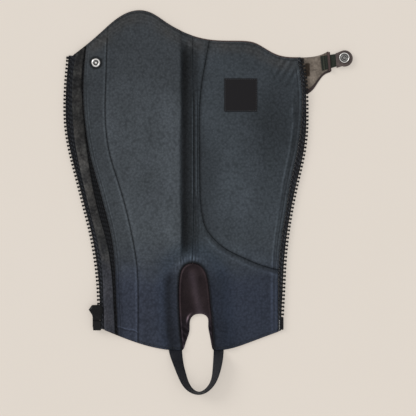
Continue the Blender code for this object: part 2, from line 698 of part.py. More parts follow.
def make_slider():
    """The slider: two plates on a post, with a bridge below for the pull tab."""
    body = plate(
        "zip_slider", "teeth", SLIDER_OUTLINE, ZIP_LIFTED - SLIDER_HALF, ZIP_LIFTED + SLIDER_HALF,
        0.5,
    )
    half_bridge = BRIDGE_WIDE / 2
    bridge = block(
        "bridge", "teeth", (SLIDER_X - half_bridge, HINGE_Y - BRIDGE_LONG / 2, BRIDGE_LOW),
        (SLIDER_X + half_bridge, HINGE_Y + BRIDGE_LONG / 2, ZIP_LIFTED - CHANNEL_HALF - 0.3),
    )
    combine(body, bridge, "UNION")
    eye = block(
        "bridge_eye", "teeth",
        (SLIDER_X - BRIDGE_WIDE, HINGE_Y - BRIDGE_OPEN / 2, BRIDGE_LOW + BRIDGE_WALL),
        (SLIDER_X + BRIDGE_WIDE, HINGE_Y + BRIDGE_OPEN / 2, BRIDGE_HIGH),
    )
    combine(body, eye, "DIFFERENCE")
    for name, way in (("left", -1), ("right", 1)):
        ends = sorted((SLIDER_X + way * POST_WIDE / 2, SLIDER_X + way * CHANNEL_REACH))
        channel = block(
            f"channel_{name}", "teeth",
            (ends[0], CHANNEL_ENDS_Y[0], ZIP_LIFTED - CHANNEL_HALF),
            (ends[1], CHANNEL_ENDS_Y[1], ZIP_LIFTED + CHANNEL_HALF),
        )
        combine(body, channel, "DIFFERENCE")


def make_pull():
    """The pull tab, a plate with a window whose end bar turns in the slider's bridge."""
    half = PULL_WIDE / 2
    end = HINGE_Y + PULL_BAR - PULL_LONG
    outline = [
        (SLIDER_X - half, HINGE_Y + PULL_BAR), (SLIDER_X - half, end + PULL_CORNER),
        (SLIDER_X - half + PULL_CORNER, end), (SLIDER_X + half - PULL_CORNER, end),
        (SLIDER_X + half, end + PULL_CORNER), (SLIDER_X + half, HINGE_Y + PULL_BAR),
    ]
    low, high = HINGE_Z - PULL_THICK / 2, HINGE_Z + PULL_THICK / 2
    pull = plate("zip_pull", "teeth", outline, low, high)
    wide, long = PULL_WINDOW
    window = block(
        "pull_window", "teeth", (SLIDER_X - wide / 2, HINGE_Y - PULL_BAR - long, low - 1),
        (SLIDER_X + wide / 2, HINGE_Y - PULL_BAR, high + 1),
    )
    combine(pull, window, "DIFFERENCE")
    turn_about(pull, (SLIDER_X, HINGE_Y, HINGE_Z))
    turn_about(window, (SLIDER_X, HINGE_Y, HINGE_Z))


def turn_about(made, point):
    """Put the object's origin at a point, with its mesh left in place."""
    shift = [c * MM for c in point]
    for vertex in made.data.vertices:
        vertex.co = [c - s for c, s in zip(vertex.co, shift)]
    made.location = shift


def make_zip_ends():
    """The retainer box at the foot of the left tape and the pin at the foot of the right one."""
    block(
        "zip_box", "teeth", (*BOX_LOW, ZIP_LIFTED - BOX_HALF),
        (*BOX_HIGH, ZIP_LIFTED + BOX_HALF), 0.8,
    )
    middle = zip_mid((PIN_LOW[0] + PIN_HIGH[0]) / 2, PIN_LOW[1])
    block("zip_pin", "teeth", (*PIN_LOW, middle - PIN_HALF), (*PIN_HIGH, middle + PIN_HALF), 0.9)


def make_strap():
    """The elastic foot strap, flat under the lining at its ends and on edge under the foot."""
    rows = smooth(STRAP)
    rows = rows[np.linspace(0, len(rows) - 1, STRAP_ROWS + 1).astype(int)]
    outer, inner = rows[:, :2], rows[:, 2:]
    wide = np.linalg.norm(outer - inner, axis=1)
    past_hem = ease((STRAP_TURNS_Y - inner[:, 1]) / STRAP_TURN_LONG)
    rise = np.sqrt(np.maximum(STRAP_WIDE ** 2 - wide ** 2, 0)) * past_hem
    drop = (STRAP_MID - STRAP_FLOOR) * ease((STRAP_DROPS_Y - inner[:, 1]) / STRAP_DROP_LONG)
    low = STRAP_MID - drop
    bm = bmesh.new()
    cells = bmesh.ops.create_grid(bm, x_segments=2, y_segments=STRAP_ROWS, size=0.5)
    for vertex in cells["verts"]:
        row, share = round((0.5 - vertex.co.y) * STRAP_ROWS), vertex.co.x + 0.5
        x, y = outer[row] * (1 - share) + inner[row] * share
        vertex.co = (x * MM, y * MM, (low[row] + rise[row] * (1 - share)) * MM)
    strap = node("foot_strap", "elastic", bm)
    wall = strap.modifiers.new("Wall", "SOLIDIFY")
    wall.thickness, wall.offset = ELASTIC * MM, 0


def make_tab():
    """The closing tab: its base beside the outer leather, its elastic, bar and round end."""
    upper, lower, edge = smooth(TAB_UPPER), smooth(TAB_LOWER), LINES["right_lining"] + (GAP, 0)
    root = stretch(edge, meet(edge, upper), meet(edge, lower), 4)
    top = stretch(upper, root[0], TAB_UPPER[-1], 8)
    bottom = stretch(lower, root[-1], TAB_LOWER[-1], 8)
    tip = stretch(np.linspace(top[-1], bottom[-1], 60), top[-1], bottom[-1], 4)
    sheet("tab_base", "tab_suede", [patch(root, tip, top, bottom)], lambda x, y: 0.0, OUTER)
    elastic_low = OUTER + GAP
    plate("tab_elastic", "green_elastic", TAB_ELASTIC, elastic_low, elastic_low + ELASTIC)
    high = elastic_low + ELASTIC + GAP
    plate("tab_bar", "tab_suede", TAB_BAR, high, high + TAB_LEATHER, 0.3)
    turn = np.linspace(math.radians(112), math.radians(-108), 15)
    arc = [
        (TAB_END_CENTRE[0] + TAB_END_RADIUS * math.cos(a),
         TAB_END_CENTRE[1] + TAB_END_RADIUS * math.sin(a))
        for a in turn
    ]
    plate("tab_end", "tab_suede", TAB_END_SQUARE + arc, high, high + TAB_LEATHER, 0.3)
    turned("snap_socket", "steel", SOCKET_PROFILE, SOCKET_CENTRE, high + TAB_LEATHER + GAP)
    turned("snap_socket_cap", "steel", UNDER_CAP_PROFILE, SOCKET_CENTRE, high - GAP - 2.6)


def make_stud():
    """The snap at the top left corner: a cap on the lining, a stud below the leather."""
    top = lining_low(*STUD_CENTRE) + LINING + GAP
    turned("snap_stud_cap", "steel", CAP_PROFILE, STUD_CENTRE, top + 0.1)
    turned("snap_stud", "steel", STUD_PROFILE, STUD_CENTRE, relief(*STUD_CENTRE) - GAP - 2.0)


def make_label():
    """The label, a thin square laid on the calf panel."""
    (x0, y0), (x1, y1) = LABEL_LOW, LABEL_HIGH
    left, right = (np.linspace((x, y1), (x, y0), LABEL_CELLS + 1) for x in (x0, x1))
    top, bottom = (np.linspace((x0, y), (x1, y), LABEL_CELLS + 1) for y in (y1, y0))
    sheet(
        "label", "label", [patch(left, right, top, bottom)],
        above(lining_low, LINING + GAP), LABEL,
    )


clear_scene()
CHAP = collection("half_chap")
CUTTERS = collection("cutters")
LINES = {}
find_lines()
make_left()
make_right()
make_instep()
make_teeth()
make_slider()
make_pull()
make_zip_ends()
make_strap()
make_tab()
make_stud()
make_label()
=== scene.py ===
import math

import bpy
import numpy as np
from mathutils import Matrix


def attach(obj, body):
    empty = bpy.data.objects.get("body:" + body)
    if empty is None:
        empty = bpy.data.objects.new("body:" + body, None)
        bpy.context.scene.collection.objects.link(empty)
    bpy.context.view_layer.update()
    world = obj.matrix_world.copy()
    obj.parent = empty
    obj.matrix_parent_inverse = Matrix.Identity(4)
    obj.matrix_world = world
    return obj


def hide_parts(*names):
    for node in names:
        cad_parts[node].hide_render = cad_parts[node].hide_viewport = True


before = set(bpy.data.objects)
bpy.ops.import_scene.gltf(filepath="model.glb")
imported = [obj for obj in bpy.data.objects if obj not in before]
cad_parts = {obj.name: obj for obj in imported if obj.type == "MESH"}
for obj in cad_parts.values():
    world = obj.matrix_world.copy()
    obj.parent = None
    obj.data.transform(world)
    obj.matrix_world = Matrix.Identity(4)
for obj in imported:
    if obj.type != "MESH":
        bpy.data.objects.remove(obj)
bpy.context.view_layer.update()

MM = 0.001

# The stage: a pale table top seen from straight above, with a long lens, under a soft light from
# the upper left. One pixel of the picture is 1.3 mm on the table.
PIXEL, PICTURE = 1.3, 416
CAMERA_X, CAMERA_Y, CAMERA_Z, CLOTH_Z = -0.26, -7.54, 3000.0, 5.0
SENSOR = 36.0
TABLE_HALF, TABLE_Z = 3.0, -0.0002
LIT_BELOW = 0.5  # share of the table's light that comes from below


def linear(colour):
    """An sRGB hex colour as linear light: (c + 0.055) / 1.055 to the power 2.4, or c / 12.92."""
    parts = np.array([int(colour[i:i + 2], 16) / 255 for i in (1, 3, 5)])
    light = np.where(parts <= 0.04045, parts / 12.92, ((parts + 0.055) / 1.055) ** 2.4)
    return (*(float(c) for c in light), 1.0)


def put(tree, kind, sockets=None, **settings):
    """A node of a material with its settings. Each socket gets a value, a link, or a node, whose
    first output is linked."""
    made = tree.nodes.new("ShaderNode" + kind)
    for name, value in settings.items():
        setattr(made, name, value)
    for key, value in (sockets or {}).items():
        if isinstance(value, bpy.types.Node):
            value = value.outputs[0]
        if isinstance(value, bpy.types.NodeSocket):
            tree.links.new(value, made.inputs[key])
        else:
            made.inputs[key].default_value = value
    return made


def blank(name):
    """An empty material and its tree of nodes."""
    made = bpy.data.materials.new(name)
    made.use_nodes = True
    made.node_tree.nodes.clear()
    return made, made.node_tree


def blend(tree, share, dark, light, **settings):
    """The colour that lies between two by a share. Each is a hex colour or a link."""
    ends = [linear(colour) if isinstance(colour, str) else colour for colour in (dark, light)]
    return put(tree, "Mix", {0: share, 6: ends[0], 7: ends[1]}, data_type="RGBA", **settings).outputs[2]


def surface(tree, sockets):
    """The principled shader with these sockets, as the surface of the material."""
    put(tree, "OutputMaterial", {"Surface": put(tree, "BsdfPrincipled", sockets)})


def painted_board():
    """A matt table top of pale board with the faintest mottle. It is lit from below as well, as a
    light table is, so that the shadows on it stay pale."""
    made, tree = blank("painted_board")
    place = put(tree, "TexCoord").outputs["Object"]
    mottle = put(tree, "TexNoise", {"Vector": place, "Scale": 6.0})
    colour = blend(tree, mottle, "#e2d9cf", "#e0d7cc")
    dimmed = put(tree, "VectorMath", {0: colour, "Scale": 1 - LIT_BELOW}, operation="SCALE")
    surface(tree, {
        "Base Color": dimmed, "Roughness": 0.9, "Specular IOR Level": 0.1,
        "Emission Color": colour, "Emission Strength": LIT_BELOW,
    })
    return made


table_mesh = bpy.data.meshes.new("table_top")
corner = TABLE_HALF * np.array([(-1, -1), (1, -1), (1, 1), (-1, 1)])
table_mesh.from_pydata([(*c, TABLE_Z) for c in corner.tolist()], [], [(0, 1, 2, 3)])
table_mesh.materials.append(painted_board())
table = bpy.data.objects.new("table_top", table_mesh)
bpy.context.collection.objects.link(table)

lens = bpy.data.cameras.new("camera")
lens.sensor_width = SENSOR
lens.lens = SENSOR * (CAMERA_Z - CLOTH_Z) / (PICTURE * PIXEL)
lens.clip_start, lens.clip_end = 0.05, 20.0
camera = bpy.data.objects.new("camera", lens)
camera.location = (CAMERA_X * MM, CAMERA_Y * MM, CAMERA_Z * MM)
bpy.context.collection.objects.link(camera)
bpy.context.scene.camera = camera

for name, place, spread_degrees, power in (
    ("window", (-1.25, 0.75, 0.85), 30.0, 1.3),
    ("overhead", (0.35, -0.3, 2.0), 60.0, 0.6),
):
    lamp = bpy.data.lights.new(name, "SUN")
    lamp.angle, lamp.energy, lamp.color = math.radians(spread_degrees), power, (1.0, 0.99, 0.975)
    hung = bpy.data.objects.new(name, lamp)
    hung.location = place
    aim = np.array(place)
    hung.rotation_euler = (math.acos(aim[2] / np.linalg.norm(aim)), 0, math.atan2(aim[0], -aim[1]))
    bpy.context.collection.objects.link(hung)
world = bpy.data.worlds.new("room")
world.use_nodes = True
world.node_tree.nodes["Background"].inputs["Color"].default_value = (0.985, 0.99, 1.0, 1)
world.node_tree.nodes["Background"].inputs["Strength"].default_value = 0.6
bpy.context.scene.world = world
bpy.context.scene.view_settings.view_transform = "Standard"

# The outer leather, two halves that are sewn together down the spine, on the table with their
# grain side down. It is pebbled cowhide, cut raw at the edges; only its rim shows from above.
ACROSS = np.array([
    # y, left tips, left lining, facing seam, right lining, right tips
    (190, -184.2, -160.2, -132.0, 116.4, 122.7),
    (160, -187.0, -162.5, -132.9, 121.0, 128.7),
    (130, -188.4, -162.5, -134.0, 122.7, 130.4),
    (95, -187.0, -159.4, -132.9, 120.5, 130.2),
    (60, -180.6, -153.5, -127.4, 115.0, 125.9),
    (25, -171.6, -144.0, -116.6, 107.3, 118.0),
    (-10, -162.7, -134.4, -106.5, 101.7, 110.8),
    (-45, -154.2, -126.2, -98.6, 96.0, 105.3),
    (-80, -148.4, -122.0, -92.9, 92.4, 101.9),
    (-115, -145.0, -120.5, -91.2, 91.3, 100.2),
    (-140, -144.0, -119.4, -91.1, 91.3, 98.9),
    (-167, -143.4, -118.0, -91.3, 91.3, 97.9),
])
TOP_EDGE = [
    (-176.4, 191.0), (-158.9, 204.4), (-138.1, 222.6), (-117.3, 240.1), (-101.7, 247.9),
    (-86.1, 249.7), (-73.1, 246.0), (-54.9, 234.3), (-34.1, 222.6), (-13.3, 214.8),
    (7.5, 211.1), (41.3, 210.2), (59.5, 207.9), (80.3, 196.6), (92.0, 191.4), (121.3, 188.8),
]
HEM_LEFT = [
    (-137.5, -165.3), (-125.1, -170.4), (-106.9, -177.8), (-86.1, -185.0), (-65.3, -190.2),
    (-49.7, -192.4), (-33.4, -192.8),
]
HEM_RIGHT = [(6.9, -192.8), (20.5, -192.1), (49.1, -184.3), (69.9, -176.5), (98.6, -166.0)]
SPINE = [(-20.0, 217.5), (-19.4, 100.0), (-19.0, 0.0), (-19.5, -45.0), (-21.1, -78.9)]
CALF_SEAM = [
    (1.8, 211.9), (-3.2, 183.6), (-7.4, 160.2), (-10.3, 134.2), (-11.6, 100.4), (-11.1, 54.9),
    (-10.4, 9.4), (-8.1, -15.3), (-2.2, -34.8), (6.9, -46.9), (19.2, -58.2), (41.3, -70.3),
    (67.3, -81.4), (92.3, -88.5),
]
ARCH = [
    (-33.4, -192.8), (-35.4, -176.5), (-37.6, -150.5), (-38.7, -124.5), (-38.2, -103.7),
    (-35.6, -90.1), (-30.2, -82.0), (-21.1, -78.9), (-12.0, -81.2), (-4.8, -88.8),
    (-0.3, -103.7), (2.3, -127.1), (4.9, -153.1), (6.9, -192.8),
]
# the turns part a panel's left and right edges into pieces that share their rows of points
SPINE_TURN, CALF_TURN, ARCH_TURN = (-19.5, -45.0), (-2.2, -34.8), (1.5, -118.0)
ARCH_LEVEL = -74.9
TOOTH_DEPTH, OUTER_IN = 4.8, 9.0
GAP, SEAM = 0.3, 0.2  # between two layers, and half of that between two edges at a seam
OUTER, LINING = 1.4, 1.2

BULGE, BULGE_FOOT, BULGE_PLATEAU = 7.0, -150.0, -80.0
BULGE_FROM_Y, BULGE_FULL_Y = -100.0, -40.0
BULGE_FADES_Y, TOP_Y, FADED_AT_TOP = 170.0, 245.0, 0.7
CREASE_TOP, CREASE_FOOT = -36.6, -32.6  # steeper than in the solids
SPINE_RIDGE, SPINE_RIDGE_X, SPINE_RIDGE_WIDE = 1.3, -17.0, 6.0
SPINE_RIDGE_ENDS, SPINE_RIDGE_FADE = (-90.0, 210.0), 60.0
CALF_BULGE, CALF_MIDDLE, CALF_REACH = 3.0, (46.0, 60.0), (56.0, 125.0)
STUD_CENTRE, STUD_LIFT, STUD_FLAT, STUD_REACH = (-145.9, 181.1), 4.7, 7.0, 38.0
SLIDER_LIFT, SLIDER_REACH = 4.4, 45.0
SLIDER_FLAT = ((-149.0, -168.0), (-137.0, -132.0))
CLOSE = np.array([0, 0.35, 0.8, 1.4, 2.1, 2.8, 3.5, 4.6])  # mm from an edge, where it rolls over


def ease(t):
    """0 below 0, 1 above 1, and 3 t^2 - 2 t^3 between."""
    t = np.clip(t, 0, 1)
    return t * t * (3 - 2 * t)


def bell(d, wide):
    """exp(-(d / wide)^2)."""
    return np.exp(-((d / wide) ** 2))


def run_of(points):
    """The length along a line at each of its points."""
    return np.concatenate([[0], np.cumsum(np.linalg.norm(np.diff(points, axis=0), axis=1))])


def smooth(points, per_span=90):
    """Close points on the natural cubic spline through the given ones: on each span, the cubic
    whose second slopes at the two ends solve the spline's three-term equations."""
    p = np.array(points, float)
    n = len(p)
    t = run_of(p)
    step = np.diff(t)
    slope = np.diff(p, axis=0) / step[:, None]
    i = np.arange(1, n - 1)
    system, bend = np.eye(n), np.zeros_like(p)
    system[i, i - 1], system[i, i], system[i, i + 1] = step[i - 1], 2 * (step[i - 1] + step[i]), step[i]
    bend[i] = 6 * (slope[i] - slope[i - 1])
    curve = np.linalg.solve(system, bend)
    at = np.linspace(0, t[-1], per_span * (n - 1) + 1)
    k = np.clip(np.searchsorted(t, at, side="right") - 1, 0, n - 2)
    h, a, b = step[k][:, None], (t[k + 1] - at)[:, None], (at - t[k])[:, None]
    return (
        (curve[k] * a ** 3 + curve[k + 1] * b ** 3) / (6 * h)
        + (p[k] / h - curve[k] * h / 6) * a
        + (p[k + 1] / h - curve[k + 1] * h / 6) * b
    )


def side(x, y=ACROSS[:, 0], tail=60.0, count=160, back=1):
    """A smooth line through the points (x, y), with straight tails past both ends. A tail has
    count points and runs on from the point that lies back steps from the end."""
    line = smooth(np.column_stack([x, y]))
    reach = np.linspace(tail, 0, count, endpoint=False)[:, None]
    up, down = (d / np.linalg.norm(d) for d in (line[0] - line[back], line[-1] - line[-1 - back]))
    return np.concatenate([line[0] + up * reach, line, line[-1] + down * reach[::-1]])


def meet(a, b):
    """The point of line a that is nearest to line b."""
    apart = np.linalg.norm(a[:, None] - np.atleast_2d(b)[None], axis=2)
    return a[np.unravel_index(np.argmin(apart), apart.shape)[0]]


def cut_out(line, start, end):
    """The stretch of a line from the point nearest to start to the one nearest to end."""
    first, last = (int(np.argmin(np.linalg.norm(line - p, axis=1))) for p in (start, end))
    piece = line[first:last + 1] if first <= last else line[last:first + 1][::-1]
    return np.concatenate([[start], piece[1:-1], [end]])


def follow(pieces, knots, at):
    """Points at the shares at of an edge whose pieces join at the shares knots, each piece walked
    at an even pace."""
    points = np.zeros((len(at), 2))
    for piece, low, high in zip(pieces, knots[:-1], knots[1:]):
        inside = (at >= low) & (at <= high)
        run = run_of(piece)
        local = (at[inside] - low) / (high - low) * run[-1]
        points[inside] = np.column_stack([np.interp(local, run, c) for c in piece.T])
    return points


def spread(length, step, insets=(0, 0), close=CLOSE):
    """Shares of an edge of this length between its insets: the close distances at both ends, and
    a step apart between them."""
    low, high = insets[0], length - insets[1]
    count = max(1, round((high - low - 2 * close[-1]) / step))
    middle = np.linspace(low + close[-1], high - close[-1], count + 1)
    return np.concatenate([low + close[:-1], middle, (high - close[:-1])[::-1]]) / length


def coons(left, right, top, bottom, knots, across, down):
    """A Coons patch: the blend across of the left and right edges, plus the blend down of the top
    and bottom ones, less the blend of the four corners. across and down are shares."""
    start, end = follow(left, knots, down)[:, None], follow(right, knots, down)[:, None]
    upper, lower = follow([top], (0, 1), across)[None], follow([bottom], (0, 1), across)[None]
    u, v = across[None, :, None], down[:, None, None]
    corners = (1 - v) * ((1 - u) * top[0] + u * top[-1]) + v * ((1 - u) * bottom[0] + u * bottom[-1])
    return (1 - u) * start + u * end + (1 - v) * upper + v * lower - corners


def panel(left, right, top, bottom, step, insets=(0, 0, 0, 0)):
    """The grid of a panel between its four edges, its points a step apart, drawn in by the insets
    of its left, right, top and bottom edges. Matching pieces of left and right share their rows."""
    long = [(run_of(a)[-1] + run_of(b)[-1]) / 2 for a, b in zip(left, right)]
    knots = np.concatenate([[0], np.cumsum(long)]) / sum(long)
    middle = coons(left, right, top, bottom, knots, np.array([0.0, 1.0]), np.linspace(0, 1, 60))
    wide = float(np.linalg.norm(middle[:, 1] - middle[:, 0], axis=1).mean())
    across = spread(wide, step, insets[:2], CLOSE * min(1, wide / 14))
    down = spread(sum(long), step, insets[2:])
    return coons(left, right, top, bottom, knots, across, down)


def between(left, right, step, insets=(0, 0, 0, 0)):
    """The grid between two lines whose ends are joined straight."""
    top, bottom = (np.linspace(left[end], right[end], 9) for end in (0, -1))
    return panel([left], [right], top, bottom, step, insets)


def level(grid, height):
    """One height all over a grid."""
    return np.full(grid.shape[:2], float(height))


def distance(x, y, line):
    """From each point to the nearest point of a line."""
    near = line[:: max(1, len(line) // 400)]
    flat = np.column_stack([np.ravel(x), np.ravel(y)])
    apart = np.hypot(flat[:, None, 0] - near[:, 0], flat[:, None, 1] - near[:, 1])
    return apart.min(axis=1).reshape(np.shape(x))


def beyond(x, y, low, high):
    """How far each point lies outside a rectangle."""
    out_x = np.maximum(np.maximum(low[0] - x, x - high[0]), 0)
    out_y = np.maximum(np.maximum(low[1] - y, y - high[1]), 0)
    return np.hypot(out_x, out_y)


def relief(x, y):
    """The height of the leather's underside above the table: a broad bulge over the left panel
    that drops into the crease, a low ridge along the spine, a shallow bulge over the calf, and
    lifts under the stud and the slider."""
    bulge = BULGE * ease((x - BULGE_FOOT) / (BULGE_PLATEAU - BULGE_FOOT))
    wavering = x + 0.7 * np.sin(y / 29) + 0.35 * np.sin(y / 11 + 1)
    bulge = bulge * (1 - ease((wavering - CREASE_TOP) / (CREASE_FOOT - CREASE_TOP)))
    bulge = bulge * ease((y - BULGE_FROM_Y) / (BULGE_FULL_Y - BULGE_FROM_Y))
    bulge = bulge * (1 - FADED_AT_TOP * ease((y - BULGE_FADES_Y) / (TOP_Y - BULGE_FADES_Y)))
    from_ends = np.minimum(y - SPINE_RIDGE_ENDS[0], SPINE_RIDGE_ENDS[1] - y)
    ridge = SPINE_RIDGE * bell(x - SPINE_RIDGE_X, SPINE_RIDGE_WIDE) * ease(from_ends / SPINE_RIDGE_FADE)
    from_middle = np.hypot((x - CALF_MIDDLE[0]) / CALF_REACH[0], (y - CALF_MIDDLE[1]) / CALF_REACH[1])
    calf = CALF_BULGE * ease(1 - from_middle)
    from_stud = np.hypot(x - STUD_CENTRE[0], y - STUD_CENTRE[1]) - STUD_FLAT
    stud = STUD_LIFT * (1 - ease(from_stud / STUD_REACH))
    slider = SLIDER_LIFT * (1 - ease(beyond(x, y, *SLIDER_FLAT) / SLIDER_REACH))
    return np.maximum(bulge, stud) + ridge + calf + slider


def from_edges(grid):
    """Each point's distance from the left, right, top and bottom edges of its grid, measured along
    the rows and the columns."""
    across = np.cumsum(np.linalg.norm(np.diff(grid, axis=1), axis=2), axis=1)
    down = np.cumsum(np.linalg.norm(np.diff(grid, axis=0), axis=2), axis=0)
    across, down = np.pad(across, ((0, 0), (1, 0))), np.pad(down, ((1, 0), (0, 0)))
    return across, across[:, -1:] - across, down, down[-1:] - down


def nearest_edge(grid):
    """Each point's distance from the nearest edge of its grid."""
    return np.minimum.reduce(from_edges(grid))


def rolled(d, radius):
    """How far a rounded edge has dropped at a distance d from it: r - sqrt(r^2 - (r - d)^2)."""
    inside = np.clip(radius - d, 0, radius)
    return radius - np.sqrt(radius ** 2 - inside ** 2)


WARM = np.array([0.28, 0.0, -0.22])  # what warmth adds to red, green and blue


def painted_light_and_wear(stops, warmth=0.0):
    """The painted light and shade of each point, with some real scuffing, as a factor on its red,
    green and blue: 2 to the power of the stops, times 1 + warmth * WARM."""
    stops, warmth = np.broadcast_arrays(stops, warmth)
    return 2.0 ** stops[..., None] * (1 + warmth[..., None] * WARM)


def mesh_of(name, points, faces, finish, uv=None, wear_and_painted_light=None):
    """An object at the origin from points in millimetres and faces, smooth, with a UV map and
    each point's factor of painted light and shade, with some real scuffing."""
    mesh = bpy.data.meshes.new(name)
    mesh.from_pydata((np.asarray(points) * MM).tolist(), [], faces)
    if uv is not None:
        loops = np.empty(len(mesh.loops), dtype=np.int32)
        mesh.loops.foreach_get("vertex_index", loops)
        mesh.uv_layers.new(name="cloth").data.foreach_set("uv", (uv[loops] * MM).ravel())
    wear_and_painted_light = np.ones((len(points), 3)) if wear_and_painted_light is None else wear_and_painted_light
    # each point's painted light and shade, with some real scuffing, as a colour factor
    wear_and_light_layer = mesh.attributes.new("wear_and_painted_light", "FLOAT_VECTOR", "POINT")
    wear_and_light_layer.data.foreach_set("vector", np.ravel(wear_and_painted_light).astype(np.float32))
    mesh.materials.append(finish)
    mesh.shade_smooth()
    made = bpy.data.objects.new(name, mesh)
    bpy.context.collection.objects.link(made)
    return made


def closed(name, front, back, finish, flip=False, wear_and_painted_light=None):
    """A closed piece between two grids of points (x, y, z): the front, the back turned over, and
    a wall round the rim between them. Its UV map is the distance across and along it."""
    wear_and_painted_light = np.ones(front.shape) if wear_and_painted_light is None else wear_and_painted_light
    if flip:
        front, back, wear_and_painted_light = front[::-1], back[::-1], wear_and_painted_light[::-1]
    rows, columns = front.shape[:2]
    count = rows * columns
    index = np.arange(count).reshape(rows, columns)
    a, b, c, d = index[:-1, :-1], index[1:, :-1], index[1:, 1:], index[:-1, 1:]
    face = np.stack([a, b, c, d], axis=2).reshape(-1, 4)
    loop = np.concatenate([index[0, :-1], index[:-1, -1], index[-1, :0:-1], index[:0:-1, 0]])
    ahead = np.roll(loop, -1)
    wall = np.stack([loop, ahead, ahead + count, loop + count], axis=1)
    faces = np.concatenate([face, face[:, ::-1] + count, wall])
    points = np.concatenate([front.reshape(-1, 3), back.reshape(-1, 3)])
    left, _, top, _ = from_edges(front)
    uv = np.column_stack([left.ravel(), -top.ravel()])
    wear_and_painted_light = np.stack([wear_and_painted_light, np.ones_like(wear_and_painted_light)])
    return mesh_of(name, points, faces.tolist(), finish, np.concatenate([uv, uv]), wear_and_painted_light)


def shell(name, grid, low, high, finish, wear_and_painted_light=None):
    """A closed piece of cloth over a grid of (x, y), from the heights low up to the heights high."""
    down, right = grid[1, 0] - grid[0, 0], grid[0, 1] - grid[0, 0]
    flip = down[0] * right[1] - down[1] * right[0] < 0
    return closed(name, np.dstack([grid, high]), np.dstack([grid, low]), finish, flip, wear_and_painted_light)


NARROWEST = 0.01  # metres; a narrower strip is cut from a tape of this width


def cut_size(*grids):
    """The smallest rectangle, at any turn, that the flat pieces are cut from, and their area, in
    metres."""
    rim = np.concatenate([g.reshape(-1, 2) for g in grids])
    turn = np.radians(np.arange(0, 90, 1.0))
    along = rim @ np.array([np.cos(turn), np.sin(turn)])
    aside = rim @ np.array([-np.sin(turn), np.cos(turn)])
    sizes = np.stack([np.ptp(along, axis=0), np.ptp(aside, axis=0)])
    width, length = np.sort(sizes[:, np.argmin(sizes.prod(axis=0))]) * MM
    area = 0.0
    for g in grids:
        one, two = g[1:, 1:] - g[:-1, :-1], g[1:, :-1] - g[:-1, 1:]
        area += float(np.abs(one[..., 0] * two[..., 1] - one[..., 1] * two[..., 0]).sum() / 2) * MM * MM
    if area < 0.3 * width * length:  # a strip that is cut straight and bends as it is sewn
        length = max(run_of(g[:, 0])[-1] for g in grids) * MM
        width = area / length
    return (float(max(width, NARROWEST)), float(length)), area


def fit(piece, slot, *nodes):
    """Rides the piece on the chap, in place of its CAD nodes. The slot is not used."""
    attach(piece, "chap")
    if nodes:
        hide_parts(*nodes)


def declare(piece, slot, nodes, grids):
    fit(piece, slot, *nodes)
    flat, area = cut_size(*grids)


def colour_with_wear_and_light(tree, colour):
    """The colour times each point's factor of painted light and shade, with some real scuffing."""
    wear_and_painted_light = put(tree, "Attribute", attribute_name="wear_and_painted_light").outputs["Vector"]
    return put(tree, "VectorMath", {0: colour, 1: wear_and_painted_light}, operation="MULTIPLY").outputs[0]


WAVE = 0.314  # the wave texture repeats each WAVE / scale, in metres


def waves(tree, place, pitch_mm, direction, bent=0.0):
    """Bands that turn from dark to light and back in each pitch."""
    sockets = {"Vector": place, "Scale": WAVE / (pitch_mm * MM), "Distortion": bent}
    return put(tree, "TexWave", sockets, bands_direction=direction).outputs[1]


def crossed(name, dark, light, one, other, roughness, depth, gloss):
    """Cloth of crossed threads: dark where either of two sets of waves is low, light and raised
    where both are high. Each set has a pitch in mm, a direction and, where it is uneven, a bend."""
    made, tree = blank(name)
    uv = put(tree, "UVMap", uv_map="cloth")
    both = put(tree, "Math", {0: waves(tree, uv, *one), 1: waves(tree, uv, *other)}, operation="MULTIPLY")
    colour = blend(tree, both, dark, light)
    surface(tree, {
        "Base Color": colour_with_wear_and_light(tree, colour), "Roughness": roughness, "Sheen Weight": 0.1,
        "Normal": put(tree, "Bump", {"Height": both, "Distance": depth * MM}), "Specular IOR Level": gloss,
    })
    return made


FOOT_FROM, FOOT_FULL = -0.02, -0.095  # heights in the picture, in metres, where a foot colour sets in


